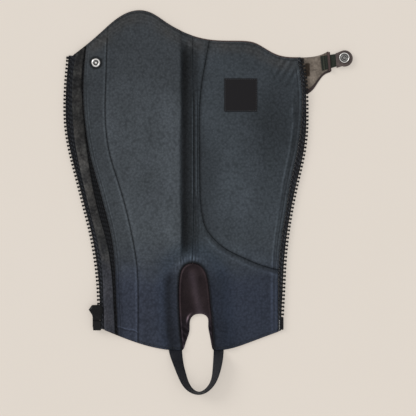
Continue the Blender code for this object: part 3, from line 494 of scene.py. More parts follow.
def hide(
    name, dark, light, grain_mm, mottle_mm, roughness, depth, sheen=0.0, gloss=0.5, foot=None, fleck=0.2,
):
    """Leather or cloth with a pebbled face. Cells of the grain's size are raised between fine
    creases that are darker by the fleck, and duller. A slow mottle moves the colour from dark to
    light, each point's painted light and shade, with some real scuffing, changes it, and foot is the
    colour that it takes towards the hem."""
    made, tree = blank(name)
    place = put(tree, "TexCoord").outputs["Object"]
    bent = put(tree, "TexNoise", {"Vector": place, "Scale": 260.0 / grain_mm, "Detail": 2.0}).outputs["Color"]
    shift = put(tree, "VectorMath", {0: bent, 1: (0.0005 * grain_mm,) * 3}, operation="MULTIPLY")
    moved = put(tree, "VectorMath", {0: place, 1: shift}, operation="ADD")
    cells = put(tree, "TexVoronoi", {"Vector": moved, "Scale": 1000.0 / grain_mm}, feature="SMOOTH_F1")
    clouds = {"Vector": place, "Scale": 1000.0 / mottle_mm, "Detail": 5.0, "Roughness": 0.6}
    mottle = put(tree, "TexNoise", clouds)
    ground = blend(tree, put(tree, "MapRange", {0: mottle, 1: 0.3, 2: 0.7}), dark, light)
    if foot:
        height = put(tree, "SeparateXYZ", {0: place}).outputs[1]
        wavy = put(tree, "Math", {0: mottle, 1: 0.05, 2: height}, operation="MULTIPLY_ADD")
        share = put(tree, "MapRange", {0: wavy, 1: FOOT_FROM, 2: FOOT_FULL}, interpolation_type="SMOOTHSTEP")
        ground = blend(tree, share, ground, foot)
    grain = put(tree, "MapRange", {0: cells, 1: 0.1, 2: 0.75, 3: 1 + 0.7 * fleck, 4: 1 - fleck})
    colour = put(tree, "VectorMath", {0: colour_with_wear_and_light(tree, ground), "Scale": grain}, operation="SCALE")
    rough = put(tree, "MapRange", {0: cells, 1: 0.1, 2: 0.7, 3: roughness - 0.06, 4: roughness + 0.1})
    fine = put(tree, "TexNoise", {"Vector": place, "Scale": 2500.0 / grain_mm, "Detail": 3.0})
    soft = put(tree, "Bump", {"Height": fine, "Distance": depth * 0.4 * MM, "Strength": 0.6})
    bump = put(tree, "Bump", {"Height": cells, "Distance": depth * MM, "Normal": soft}, invert=True)
    surface(tree, {
        "Base Color": colour, "Roughness": rough, "Normal": bump,
        "Sheen Weight": sheen, "Sheen Roughness": 0.5, "Specular IOR Level": gloss,
    })
    return made


top_line, hem_left, hem_right = smooth(TOP_EDGE), smooth(HEM_LEFT), smooth(HEM_RIGHT)
spine, calf_seam, arch = smooth(SPINE), smooth(CALF_SEAM), smooth(ARCH)
left_tips, right_tips = side(ACROSS[:, 1]), side(ACROSS[:, 5])
TEETH_SHOW = np.interp(ACROSS[:, 0], (-60, 60), (3.4, 2.8))  # mm of a tooth past the tape
left_tape_line = side(ACROSS[:, 1] + TEETH_SHOW)
right_tape_line = side(ACROSS[:, 5] - TEETH_SHOW)
left_root, right_root = side(ACROSS[:, 1] + TOOTH_DEPTH), side(ACROSS[:, 5] - TOOTH_DEPTH)
outer_line = side(ACROSS[:, 1] + OUTER_IN)
left_lining, facing_line, right_lining = side(ACROSS[:, 2]), side(ACROSS[:, 3]), side(ACROSS[:, 4])
arch_peak = int(np.argmax(arch[:, 1]))
arch_left, arch_right = arch[:arch_peak + 1][::-1], arch[arch_peak:]


def left_edge(line):
    """A line of the left half from the top edge to the hem, parted level with the arch's top."""
    start, end = meet(line, top_line), meet(line, hem_left)
    level = line[np.argmin(np.abs(line[:, 1] - ARCH_LEVEL))]
    return [cut_out(line, start, level), cut_out(line, level, end)]


def left_panel(left, right, step, insets):
    """The grid between two lines of the left half."""
    top = cut_out(top_line, left[0][0], right[0][0])
    bottom = cut_out(hem_left, left[1][-1], right[1][-1])
    return panel(left, right, top, bottom, step, insets)


spine_top, seam_top = meet(spine, top_line), meet(calf_seam, top_line)
edge_top, edge_foot = meet(right_lining, top_line), meet(right_lining, hem_right)
edge_seam = meet(right_lining, calf_seam)
inner_edge = [cut_out(spine, spine_top, arch[arch_peak]), cut_out(arch_left, arch[arch_peak], arch[0])]
seam_above = cut_out(calf_seam, seam_top, np.array(CALF_TURN))
seam_below = cut_out(calf_seam, np.array(CALF_TURN), edge_seam)
ankle_edges = (
    [
        cut_out(spine, spine_top, np.array(SPINE_TURN)),
        np.concatenate([
            cut_out(spine, np.array(SPINE_TURN), arch[arch_peak]),
            cut_out(arch_right, arch[arch_peak], np.array(ARCH_TURN))[1:],
        ]),
        cut_out(arch_right, np.array(ARCH_TURN), arch[-1]),
    ],
    [seam_above, seam_below, cut_out(right_lining, edge_seam, edge_foot)],
    cut_out(top_line, spine_top, seam_top),
    cut_out(hem_right, hem_right[0], edge_foot),
)
calf_edges = (
    [seam_above], [cut_out(right_lining, edge_top, edge_seam)],
    cut_out(top_line, seam_top, edge_top), seam_below,
)

cowhide = hide("outer_cowhide", "#35211c", "#4a2f28", 1.6, 40.0, 0.5, 0.22)
STEP = 1.5


def leather_half(name, grids):
    """Outer leather over grids that lie side by side, low at the relief, raw at its rim."""
    pieces = []
    for number, grid in enumerate(grids):
        x, y = grid[..., 0], grid[..., 1]
        low = relief(x, y)
        pieces.append(shell(f"{name}_{number}", grid, low, low + OUTER, cowhide))
    return pieces


outer_left_grid = left_panel(left_edge(outer_line), inner_edge, STEP, (0, SEAM, 0, 0))
outer_left = leather_half("outer_leather_left_hide", [outer_left_grid])[0]
declare(outer_left, "outer_leather", ["outer_leather_left"], [outer_left_grid])

ankle_grid = panel(*ankle_edges, STEP, (SEAM, 0, 0, 0))
calf_grid = panel(*calf_edges, STEP, (0, 0, 0, 0))
outer_right = leather_half("outer_leather_right_hide", [ankle_grid, calf_grid])
with bpy.context.temp_override(active_object=outer_right[0], selected_editable_objects=outer_right):
    bpy.ops.object.join()
outer_right = outer_right[0]
declare(outer_right, "outer_leather", ["outer_leather_right"], [ankle_grid, calf_grid])

# The instep panel, a horseshoe of smooth brown leather in the arch of the lining, between the
# arch's rim and the cut for the foot. Its two narrow legs are wrinkled from wear.
CUT = [
    (-31.4, -190.0), (-27.3, -177.2), (-24.4, -167.4), (-24.1, -158.3), (-22.8, -151.8),
    (-18.5, -147.0), (-10.9, -145.3), (-4.2, -146.9), (-0.8, -150.5), (0.0, -160.9),
    (1.3, -170.0), (5.0, -190.0),
]
INSTEP_RIDGE, INSTEP_RIDGE_X, INSTEP_RIDGE_WIDE = 2.0, -14.5, 9.0
TUCKED = 0.12  # mm that the panel's outer edge reaches in under the lining
INSTEP_RIDGE_TOP, INSTEP_RIDGE_FADE, INSTEP_EDGE_FADE = -80.0, 25.0, 12.0


def instep_low(x, y):
    """The instep panel's underside, with a soft ridge down its middle."""
    over = bell(x - INSTEP_RIDGE_X, INSTEP_RIDGE_WIDE) * ease((INSTEP_RIDGE_TOP - y) / INSTEP_RIDGE_FADE)
    return relief(x, y) + INSTEP_RIDGE * over * ease(distance(x, y, arch) / INSTEP_EDGE_FADE)


cut_line = smooth(CUT)
along = np.gradient(arch, axis=0)
outward = np.column_stack([-along[:, 1], along[:, 0]]) / np.linalg.norm(along, axis=1)[:, None]
horseshoe = (arch + TUCKED * outward)[::-1]
instep_grid = between(cut_line[::-1], horseshoe, 1.2)
ix, iy = instep_grid[..., 0], instep_grid[..., 1]
from_cut, from_rim = distance(ix, iy, cut_line), distance(ix, iy, horseshoe)
legs = ease((-150 - iy) / 15)
wrinkle = 0.5 * legs * np.sin((ix * 0.8 + iy) / 1.5) * ease(from_cut / 2) * ease(from_rim / 2)
wrinkle += 0.1 * np.sin(ix / 3.1 + iy / 17) * ease(from_cut / 3) * ease(from_rim / 3)
instep_under = instep_low(ix, iy)
# Painted light on the instep: a highlight streak down the middle, lighter at the top and right, highlights
# along the rim and the cut with shade on the rim's edge, a bright highlight sliver low on the left side of
# the cut, and light and shade on the wrinkles; the warmth is the wine tint, paler in the streak
shine = bell(ix + 19.8 + 0.2 * (iy + 101), 6) * ease((-84 - iy) / 12)
middle_highlight = 1.4 * shine + 0.5 * bell(iy + 88, 9) + 0.35 * ease((ix + 12) / 5) * (1 - legs)
rim_light_and_shade = (0.7 + 1.4 * ease((-20 - ix) / 6)) * bell(from_rim - 2.1, 1.0) - 0.5 * bell(from_rim, 0.9)
corner_highlight = 4.5 * bell(from_cut - 4.0, 1.0) * bell(iy + 151, 6) * (ix < -20)
cut_highlight = 0.8 * bell(from_cut - 0.8, 0.8) + corner_highlight
instep = shell(
    "instep_leather_panel", instep_grid, instep_under, instep_under + OUTER + wrinkle - rolled(from_cut, 0.7),
    hide("smooth_wine_leather", "#1a161a", "#252024", 1.4, 22.0, 0.4, 0.05, gloss=0.04),
    painted_light_and_wear(
        middle_highlight + rim_light_and_shade + cut_highlight + 1.3 * wrinkle * legs,
        0.45 * (1 - 0.5 * shine) * ease((iy + 165) / 30),
    ),
)
declare(instep, "instep_leather", ["instep_panel"], [instep_grid])

# The elastic foot strap, sewn under the lining at both ends. Between them it turns on edge and
# loops below the hem. It is a knitted band, ribbed along its length.
ELASTIC = 1.3
LINING_LOW = OUTER + GAP
STRAP_MID = LINING_LOW + ELASTIC / 2
STRAP_WIDE, STRAP_FLOOR = 17.5, 1.0
STRAP_TURNS_Y, STRAP_TURN_LONG = -193.0, 13.0
STRAP_DROPS_Y, STRAP_DROP_LONG = -197.0, 25.0
STRAP = [
    (-51.0, -177.0, -33.9, -177.0), (-51.2, -193.0, -33.9, -193.0), (-48.4, -202.5, -32.8, -205.1),
    (-39.9, -224.0, -28.6, -224.4), (-26.3, -244.2, -21.3, -241.5), (-12.0, -249.0, -12.0, -247.1),
    (4.7, -240.5, 0.8, -238.0), (16.0, -218.1, 6.0, -216.8), (20.2, -193.0, 7.0, -193.0),
    (20.3, -177.0, 7.0, -177.0),
]
RIB, ROW, RIB_DEEP = 1.9, 1.1, 0.12  # the ribs are coarser than the real 1 mm, so that they show


def knitted(name, dark, light):
    """Knitted elastic: ribs along the band, rows of stitches across them, dull and a little furry."""
    return crossed(name, dark, light, (RIB, "X"), (ROW, "Y", 1.0), roughness=0.85, depth=0.3, gloss=0.25)


strap_rows = smooth(STRAP)
strap_rows = strap_rows[np.linspace(0, len(strap_rows) - 1, 121).astype(int)]
strap_outer, strap_inner = strap_rows[:, :2], strap_rows[:, 2:]
strap_span = np.linalg.norm(strap_outer - strap_inner, axis=1)
past_hem = ease((STRAP_TURNS_Y - strap_inner[:, 1]) / STRAP_TURN_LONG)
strap_rise = np.sqrt(np.maximum(STRAP_WIDE ** 2 - strap_span ** 2, 0)) * past_hem
dropped = ease((STRAP_DROPS_Y - strap_inner[:, 1]) / STRAP_DROP_LONG)
strap_low = STRAP_MID - (STRAP_MID - STRAP_FLOOR) * dropped
band_share = np.linspace(0, 1, 37)[None, :, None]
band = np.dstack([
    strap_outer[:, None] * (1 - band_share) + strap_inner[:, None] * band_share,
    strap_low[:, None] + strap_rise[:, None] * (1 - band_share[..., 0]),
])
along_band = np.gradient(band, axis=0)
across_band = np.gradient(band, axis=1)
band_normal = np.cross(across_band, along_band)
band_normal /= np.linalg.norm(band_normal, axis=2, keepdims=True)
rib_wave = RIB_DEEP * np.cos(2 * np.pi * band_share * STRAP_WIDE / RIB)
from_band_edge = np.minimum(band_share, 1 - band_share) * STRAP_WIDE
half_band = ELASTIC / 2 - RIB_DEEP + rib_wave - rolled(from_band_edge, 0.5)
band_front, band_back = band - band_normal * half_band, band + band_normal * half_band
band_flip = bool(np.median(band_normal[..., 2]) > 0)
black_elastic = knitted("strap_elastic", "#0b0d14", "#1d2029")
strap = closed("elastic_strap", band_back, band_front, black_elastic, band_flip)
fit(strap, "elastic", "foot_strap")

# The lining, four panels of soft pebbled cloth that face the leg. They are sewn edge to edge and
# turned in at the arch and the left edge, and the seams and hidden strips show through them.
EDGE_LIFT, EDGE_WIDE = 1.2, 9.0
RIM, RIM_WIDE = 2.4, 6.0
STRAP_LIFT, STRAP_FLAT, STRAP_REACH = 1.7, 9.0, 12.0
STRAP_ENDS_X, STRAP_ENDS_Y = ((-51.2, -33.9), (7.0, 20.3)), (-194.0, -177.0)
ROLL = 1.05  # the radius of a turned edge
HIDDEN_STRIP = [
    (109.2, 122.5), (109.8, 104.3), (107.0, 76.0), (100.6, 42.0), (93.0, 4.0), (88.0, -32.0),
    (84.5, -60.0), (83.6, -100.0), (83.4, -146.6),
]
FACING_FOOT = [(-114.7, -162.2), (-104.3, -165.8), (-94.5, -167.8), (-90.0, -172.0)]
CORNER_FOLD = (-148.0, 213.5), (-134.0, 207.0)
ALLOWANCE, ALLOWANCE_HIGH = 7.5, 0.45  # of the seam that is folded under the ankle panel


def lining_low(x, y):
    """The lining's underside: raised round the arch, at its left edge and over the strap's ends."""
    rim = RIM * bell(distance(x, y, arch), RIM_WIDE)
    edge = EDGE_LIFT * np.maximum(0, 1 - distance(x, y, left_lining) / EDGE_WIDE)
    strap_bump = 0.0
    for low_x, high_x in STRAP_ENDS_X:
        away = beyond(x, y, (low_x, STRAP_ENDS_Y[0]), (high_x, STRAP_ENDS_Y[1])) - STRAP_FLAT
        strap_bump = np.maximum(strap_bump, STRAP_LIFT * (1 - ease(away / STRAP_REACH)))
    return relief(x, y) + LINING_LOW + edge + np.maximum(rim, strap_bump)


def slack(x, y):
    """The slow waves of cloth that lies loose: products of sines a few centimetres long."""
    broad = np.sin(x / 17 + y / 31 + 1.3) * np.sin(y / 23 - x / 47)
    small = np.sin(x / 7.3 + y / 13 + 2) * np.sin(y / 9.7 - x / 15)
    return 0.38 * broad + 0.16 * small


PAINTED_LIGHT_PATCHES = [
    # painted light and shade in stops, centre x and y, reach across and along
    (0.3, -85, -50, 30, 35), (0.35, 30, 25, 32, 48), (-0.8, 85, 97, 34, 51), (-0.3, 94, 145, 26, 26),
    (-0.45, 6, 35, 13, 26),
]


def painted_lining_light(x, y):
    """The lining's painted light and shade in stops. Painted shade is darkest in the crease, and lies
    on the arch's rim, in the hollow round it, in a ring round the snap's cap and towards the hem.
    Painted light lies beside the crease and above the arch, crumples near the top of the spine are
    painted light and dark, and the listed patches lighten low on the left and the middle of the calf
    and darken beside the spine and towards the calf's right edge."""
    fading = 0.35 * ease((x + 30) / 7) + 0.25 * ease((x + 22.5) / 3) + 0.4 * ease((x + 18) / 9)
    crease = ease((x + 37.0) / 6) * (1 - fading) * ease((y + 74) / 22) * ease((213 - y) / 24)
    from_arch = distance(x, y, arch)
    on_left = x < -17
    rim = -2.6 * bell(from_arch - 0.7, 1.6) - 0.5 * bell(from_arch - 5, 3) * on_left * ease((-90 - y) / 10)
    hollow = -(0.6 + 1.0 * on_left) * bell(from_arch - 13, np.where(on_left, 6, 14)) * ease((-84 - y) / 20)
    above_arch = 0.45 * bell(from_arch - 6, 4) * ease((y + 90) / 8) * bell(x + 22, 17)
    beside_crease = 0.35 * bell(x + 50, 14) * ease((y + 75) / 40) * ease((160 - y) / 50)
    patches = sum(
        stops * bell(x - middle_x, wide) * bell(y - middle_y, long)
        for stops, middle_x, middle_y, wide, long in PAINTED_LIGHT_PATCHES
    )
    hem = -0.35 * ease((-140 - y) / 25) * bell(x + 10, 60)
    # painted light and shade of crumples near the top of the spine, and a painted shadow round the snap's cap
    crumpled = 0.6 * np.sin(x / 1.7 + y / 5) * np.sin(y / 3.4 - x / 6) * bell(np.hypot(x + 20, y - 203), 14)
    stud = -2.2 * bell(np.hypot(x - STUD_CENTRE[0], y - STUD_CENTRE[1]) - 7.4, 1.2)
    painted_spots = beside_crease + above_arch + patches + hem + crumpled
    return 0.1 - 2.6 * crease + rim + hollow + painted_spots + stud


def cool(x, y):
    """The lining's tint: bluer in the crease, towards the calf and round the arch, the cool of the
    painted shade there, and browner along the top edge and at the top of the spine, the cloth's own."""
    blue = 0.15 * ease((x + 34.8) / 3) + 0.3 * bell(distance(x, y, arch) - 18, 12)
    brown = 0.45 * bell(distance(x, y, top_line) - 8, 9) * (1 + slack(2 * x, 2 * y))
    return brown - blue + 0.15 * bell(np.hypot(x + 14, y - 198), 15)


def lining_panel(name, grid, sewn, roll, extra, wear_and_painted_light):
    """A lining panel whose edges roll over, with a stitched channel inside the sewn ones. The four
    values of sewn and roll are for its left, right, top and bottom edges. Extra height comes on top
    of the slow waves, and extra stops of painted light and shade on top of the lining's shared ones."""
    x, y = grid[..., 0], grid[..., 1]
    low = lining_low(x, y)
    edges = from_edges(grid)
    nearest = np.minimum.reduce(edges)
    channel = np.minimum(sum(on * bell(d - 2.8, 0.8) for on, d in zip(sewn, edges)), 1)
    pucker = 0.08 * np.sin(2 * np.pi * (x + y) / 5.2) * bell(nearest - 1.5, 3.0)
    form = (slack(x, y) + extra) * ease(nearest / 6) + pucker - 0.3 * channel
    drop = np.maximum.reduce([rolled(d, r) for d, r in zip(edges, roll)])
    # painted light and shade: the panel's and the lining's own stops, light and shade that follow the slow
    # waves and the puckers, and painted shade in the stitched channel
    wear_and_painted_light = wear_and_painted_light + painted_lining_light(x, y) + 0.25 * slack(x, y) + pucker - 0.5 * channel
    return shell(
        name, grid, low, np.maximum(low + LINING + form - drop, low + 0.08), lining_cloth,
        painted_light_and_wear(wear_and_painted_light, cool(x, y)),
    )


def gathers(x, y):
    """Cloth drawn together above the arch and below the spine's lines: fine upright folds,
    sin(x / 0.62) times a bell of the distance from the arch or one across the spine."""
    wavy = x / 0.62 + np.sin(y / 6 + x / 5)
    near = bell(distance(x, y, arch) - 6, 4.5) * ease((y + 92) / 8)
    above = 0.4 * bell(x + 16, 13) * ease((12 - y) / 25) * ease((y + 78) / 15)
    return np.sin(wavy) * np.maximum(near, above) * (0.65 + 0.35 * np.sin(x / 2.9 + y / 4.3))


def top_folds(x, y, from_top, deep, rate, below, wide):
    """Folds along the top edge: deep * sin(rate * distance), bent by the slow waves, in a band that
    lies below the edge."""
    return deep * np.sin(from_top * rate + 2 * slack(x, y)) * bell(from_top - below, wide)


def beside_spine(y):
    """The stretch where the sewn lines beside the spine show, fading out at both ends."""
    return ease((152 - y) / 25) * ease((y - 3) / 10)


# its foot colour, darker and bluer towards the hem, is painted shade
lining_cloth = hide(
    "lining_pebbled_cloth", "#3a3f43", "#40454a", grain_mm=2.7, mottle_mm=30.0, roughness=0.6, depth=0.8,
    gloss=0.14, foot="#2f3440", fleck=0.3,
)
BUTTED = 0.05  # half the gap of a seam whose edges press on each other
left_grid = left_panel(left_edge(facing_line), inner_edge, 1.35, (0, 0, 0.6, 0.3))
facing_grid = left_panel(left_edge(left_lining), left_edge(facing_line), 1.1, (SEAM, 0, 0.6, 0.3))
ankle_lining_grid = panel(*ankle_edges, 1.25, (0, 0, 1.3, 0.3))
calf_lining_grid = panel(*calf_edges, 1.8, (BUTTED, 0, 1.3, BUTTED))
SOFT = 0.45  # the radius of an edge that another panel laps

lx, ly = left_grid[..., 0], left_grid[..., 1]
waist = -0.5 * ease((-73.8 - ly) / 7) * ease((lx + 120) / 10)
# a raised line beside the spine; in the stops a painted highlight on it and painted shade beside it
spine_line = (bell(lx + 20.4, 0.6) - 0.4 * bell(lx + 22.3, 0.7)) * beside_spine(ly)
from_facing, _, from_top, _ = from_edges(left_grid)
edge_folds = top_folds(lx, ly, from_top, 0.25, 1.5, 12, 9)
# painted light beside the facing seam and painted shade in it
seam_light_and_shade = 0.2 * bell(from_facing - 3.5, 2) - 1.4 * bell(from_facing, 1.1) * ease((216 - ly) / 6)
# its stops: painted light and shade on the gathers, the spine's line and the top folds, painted shade along
# the top edge, and darker towards the top
lining_left = lining_panel(
    "lining_left_cloth", left_grid, (0, 0, 1, 1), (SOFT, ROLL, ROLL, ROLL),
    waist + 0.4 * gathers(lx, ly) + 0.3 * spine_line - 0.35 * bell(from_facing, 1.2) + 0.5 * edge_folds,
    0.9 * gathers(lx, ly) + spine_line + edge_folds - 0.35 * bell(from_top - 2, 1.6)
    - 0.45 * ease((ly - 105) / 100) + seam_light_and_shade,
)
declare(lining_left, "lining", ["lining_left"], [left_grid])

fx, fy = facing_grid[..., 0], facing_grid[..., 1]
facing_foot = smooth(FACING_FOOT)
over_foot = fy - np.interp(fx, facing_foot[:, 0], facing_foot[:, 1])
f_left, f_right, f_top, _ = from_edges(facing_grid)
double_lines = bell(f_left - 3.0, 0.6) + bell(f_left - 6.0, 0.6)
corner_fold = distance(fx, fy, np.linspace(*CORNER_FOLD, 30))
backed = ease((-75 - fy) / 12)  # a second layer lies under the facing's inner half
# painted light and shade of the facing: a highlight on the hem fold with shade below it, shade along the left
# edge, light beside the seam with shade in it, light over the backed half and on the corner fold
hem_fold_light_and_shade = 1.2 * bell(over_foot - 0.5, 0.8) - 0.9 * bell(over_foot + 1.2, 0.9)
edge_shade = -0.4 * bell(f_left - 2, 3) - 0.5 * bell(f_left - 4.5, 0.8) - 0.9 * bell(f_left, 1.2)
seam_light_and_shade = (0.6 * bell(f_right - 2.6, 1.3) - 1.1 * bell(f_right, 0.9)) * ease((216 - fy) / 6)
backed_light = (0.35 * bell(f_left - 9, 1.2) + 0.5 * ease((f_left - 8) / 3)) * backed
fold_light_and_shade = 0.8 * bell(corner_fold, 0.9) - 0.5 * bell(corner_fold - 3, 2) * (f_top < 9)
# its stops: darker all over, lighter in the middle, painted highlights on the raised double lines, and the
# painted light and shade above
lining_facing = lining_panel(
    "lining_facing_cloth", facing_grid, (0, 0, 1, 0), (1.5, SOFT, ROLL, ROLL),
    -0.7 * ease(-over_foot / 0.9) + 0.35 * bell(f_right - 1.5, 1.5) + 0.3 * double_lines
    + 0.35 * bell(f_left - 9, 1.3) * backed + 0.4 * bell(corner_fold, 1.2),
    -0.45 + 0.3 * bell(fy - 15, 60) + 0.7 * double_lines
    + hem_fold_light_and_shade + edge_shade + seam_light_and_shade + backed_light + fold_light_and_shade,
)
declare(lining_facing, "lining", ["lining_left_facing"], [facing_grid])

ax, ay = ankle_lining_grid[..., 0], ankle_lining_grid[..., 1]
strip = smooth(HIDDEN_STRIP)
from_seam, from_strip = distance(ax, ay, calf_seam), distance(ax, ay, strip)
a_right = from_edges(ankle_lining_grid)[1]
spine_strip = ease((ay + 70) / 30) * (1 - ease((ax + 8) / 6))
folded_seam = ALLOWANCE_HIGH * ease((ALLOWANCE - from_seam) / 1.2) * (1 - spine_strip)
spine_lines = (bell(ax + 15.5, 0.9) + 0.7 * bell(ax + 12.4, 0.6)) * beside_spine(ay)
# painted shade along two lines beside the spine, where no groove is modelled
spine_groove_shade = (1.2 * bell(ax + 18.3, 0.8) + 0.8 * bell(ax + 13.7, 0.6)) * beside_spine(ay)
seam_light_and_shade = 0.5 * bell(from_seam - 7, 1.2) - 0.2 * bell(from_seam - 14, 8) - 0.45 * bell(from_seam - 3, 2.4)
strip_ridge = 0.5 * bell(from_strip, 1.3) * ease((-ay - 90) / 10)
right_lines = (bell(a_right - 3.2, 0.7) + bell(a_right - 9.0, 0.7)) * ease((-ay - 88) / 6)
# its stops: a darker spine strip, painted light on the gathers, the spine's raised lines, the hidden strip's
# ridge and two lines near the right edge, and painted shade in the seam with a light line beside it
lining_ankle = lining_panel(
    "lining_ankle_cloth", ankle_lining_grid, (0, 0, 0, 1), (ROLL,) * 4,
    folded_seam + 0.4 * gathers(ax, ay) + strip_ridge + 0.35 * spine_lines,
    -0.2 - 0.3 * spine_strip + 0.9 * gathers(ax, ay) + 1.1 * spine_lines - 0.9 * spine_groove_shade
    + seam_light_and_shade * (1 - spine_strip) - 1.1 * bell(from_seam, 1.8) + 0.2 * strip_ridge + 0.8 * right_lines,
)
declare(lining_ankle, "lining", ["lining_ankle"], [ankle_lining_grid])

cx, cy = calf_lining_grid[..., 0], calf_lining_grid[..., 1]
from_strip, from_seam = distance(cx, cy, strip), distance(cx, cy, calf_seam)
strip_x = np.interp(-cy, -strip[:, 1], strip[:, 0])
border = ease((cx - strip_x + 1) / 3) * ease((150 - cy) / 30)
corner_waves = 0.5 * np.sin((1.3 * cx - 0.8 * cy) / 2.1 + slack(cx, cy))
corner_gather = corner_waves * bell(np.hypot(cx - 102, cy - 173), 17)
_, c_right, c_top, _ = from_edges(calf_lining_grid)
right_lines = bell(c_right - 3.2, 0.7) + 0.6 * bell(c_right - 6.0, 0.6) - 0.7 * bell(c_right - 4.6, 0.7)
right_lines = right_lines * ease((178 - cy) / 10)
edge_folds = top_folds(cx, cy, c_top, 0.15, 1.3, 9, 7)
# painted highlight along the hidden strip with painted shade beyond it, and painted shade beside the seam
strip_light_and_shade = 0.9 * bell(cx - strip_x, 0.9) * ease((150 - cy) / 15) - 0.45 * border
seam_light_and_shade = (0.25 - 0.8 * ease((cy + 55) / 30)) * bell(from_seam, 14) * ease((120 - cy) / 60)
# its stops: darker all over, painted light and shade on the corner gathers, the top folds and the lines near
# the right edge, painted shade in the seam, and darker towards the top
lining_calf = lining_panel(
    "lining_calf_cloth", calf_lining_grid, (0, 0, 1, 0), (ROLL,) * 4,
    0.5 * bell(from_strip, 1.3) + corner_gather + 0.2 * right_lines + 0.5 * edge_folds,
    -0.25 + strip_light_and_shade + 1.4 * corner_gather + edge_folds + seam_light_and_shade - 1.1 * bell(from_seam, 2.0)
    + right_lines - 0.15 * ease((cy - 105) / 100),
)
declare(lining_calf, "lining", ["lining_calf"], [calf_lining_grid])

# The stitches, tight lock stitches of polyester thread that sink a little into the cloth.
THREAD, PLY = 0.35, 0.5


def waxed_thread(name, colour):
    """Twisted polyester thread: plies wind round it, with a soft gloss along each."""
    made, tree = blank(name)
    place = put(tree, "TexCoord").outputs["Object"]
    plies = waves(tree, place, PLY, "DIAGONAL")
    shade = put(tree, "MapRange", {0: plies, 3: 0.75, 4: 1.1})
    tone = blend(tree, shade, "#000000", colour, clamp_factor=False)
    bump = put(tree, "Bump", {"Height": plies, "Distance": 0.06 * MM})
    surface(tree, {"Base Color": tone, "Roughness": 0.55, "Normal": bump})
    return made


def rings(count, around):
    """The faces between rings that follow each other, each of around points."""
    row, k = np.arange(count - 1)[:, None] * around, np.arange(around)[None]
    ahead = (k + 1) % around
    return np.stack([row + k, row + ahead, row + ahead + around, row + k + around], axis=2).reshape(-1, 4)


def tubes(count, around, copies, inside_out=False):
    """The faces of closed tubes of count rings, with a cap on both ends of each."""
    shift = np.arange(copies)[:, None] * count * around
    quads = (rings(count, around)[None] + shift[..., None]).reshape(-1, 4)
    first = np.arange(around)[None] + shift
    last = first + (count - 1) * around
    faces = quads.tolist() + first[:, ::-1].tolist() + last.tolist()
    return [face[::-1] for face in faces] if inside_out else faces


def steps(line, places, reach):
    """The points of a line at these distances along it, and the directions there, taken over the
    reach ahead."""
    run = run_of(line)
    at, ahead = (np.column_stack([np.interp(p, run, c) for c in line.T]) for p in (places, places + reach))
    return at, (ahead - at) / np.linalg.norm(ahead - at, axis=1)[:, None]


def stitches(name, path, pitch, long, finish, slot, thick=THREAD):
    """Stitches along a path of (x, y, z). Each is six-sided rings carried along an arch:
    its height is sin(pi t) and its girth sqrt(sin(pi t))."""
    place, ahead = steps(path, np.arange(pitch / 2, run_of(path)[-1] - pitch / 2, pitch), 0.5)
    aside = np.cross((0, 0, 1), ahead)
    up = np.cross(ahead, aside)
    t = np.array([0.03, 0.25, 0.5, 0.75, 0.97])
    turn = np.arange(6) * np.pi / 3
    girth = thick * np.sqrt(np.sin(np.pi * t))[:, None]
    along = ((t - 0.5) * long)[:, None] * np.ones(len(turn))
    across, rise = girth * np.cos(turn), girth * np.sin(turn) + (0.5 * thick * np.sin(np.pi * t))[:, None]
    points = (
        place[:, None, None] + along[None, ..., None] * ahead[:, None, None]
        + across[None, ..., None] * aside[:, None, None] + rise[None, ..., None] * up[:, None, None]
    )
    fit(mesh_of(name, points.reshape(-1, 3), tubes(len(t), len(turn), len(place)), finish), slot)


dark_thread = waxed_thread("thread_black", "#202226")
STITCH_PITCH, STITCH_LONG, STITCH_SUNK = 3.1, 2.4, 0.35
for name, line in (
    ("left_edge", facing_grid[:, 5]), ("left_top", left_grid[5]), ("left_hem", left_grid[-6]),
    ("ankle_hem", ankle_lining_grid[-6]), ("calf_top", calf_lining_grid[5]),
    ("calf_edge", calf_lining_grid[:, -6]),
):
    path = np.column_stack([line, lining_low(*line.T) + LINING - STITCH_SUNK])
    stitches(f"stitches_{name}", path, STITCH_PITCH, STITCH_LONG, dark_thread, "lining")

# The zip: woven polyester tapes sewn under the lining's edges, and moulded plastic teeth on them.
# A strip of suede, sewn with the left tape, guards the leg from the teeth.
TAPE, TAPE_MID, TOOTH_HALF, GUARD = 0.6, 2.4, 2.0, 1.0
GUARD_LOW = TAPE_MID + TAPE / 2 + GAP
TAB_LIFT, TAB_LIFT_FROM, TAB_LIFT_FADE = 1.6, 115.0, 20.0
TOUCHING = 0.03  # the right tape lies against the lining's edge
LEFT_TEETH_Y, RIGHT_TEETH_Y, PITCH = (186.0, -153.2), (183.5, -148.6), 5.0


def over_tab(y):
    """How far the right zip is lifted, where it lies over the closing tab."""
    return TAB_LIFT * ease((y - TAB_LIFT_FROM) / TAB_LIFT_FADE)


def zip_mid(x, y):
    """The middle height of the zip's tapes and teeth."""
    return relief(x, y) + TAPE_MID + over_tab(y) * (x > 0)


def cord_bead(from_teeth):
    """The bead of cord that is woven into a tape beside its teeth."""
    return 0.45 * bell(from_teeth - 0.9, 0.8)


def woven(name, dark, light, thread_mm, roughness, depth):
    """Twill tape: bands of warp threads along it, crossed by weft, dull with a faint sheen."""
    warp, twill = (thread_mm, "X"), (thread_mm / 0.8, "DIAGONAL")
    return crossed(name, dark, light, warp, twill, roughness, depth, gloss=0.1)


black_tape = woven("zip_tape_twill", "#121316", "#333539", 2.4, 0.85, 0.2)
left_tape_grid = left_panel(left_edge(left_tape_line), left_edge(left_lining), 2.6, (0, SEAM, 0.6, 0.6))
tx, ty = left_tape_grid[..., 0], left_tape_grid[..., 1]
tape_low = zip_mid(tx, ty) - TAPE / 2
from_teeth, from_lining, _, _ = from_edges(left_tape_grid)
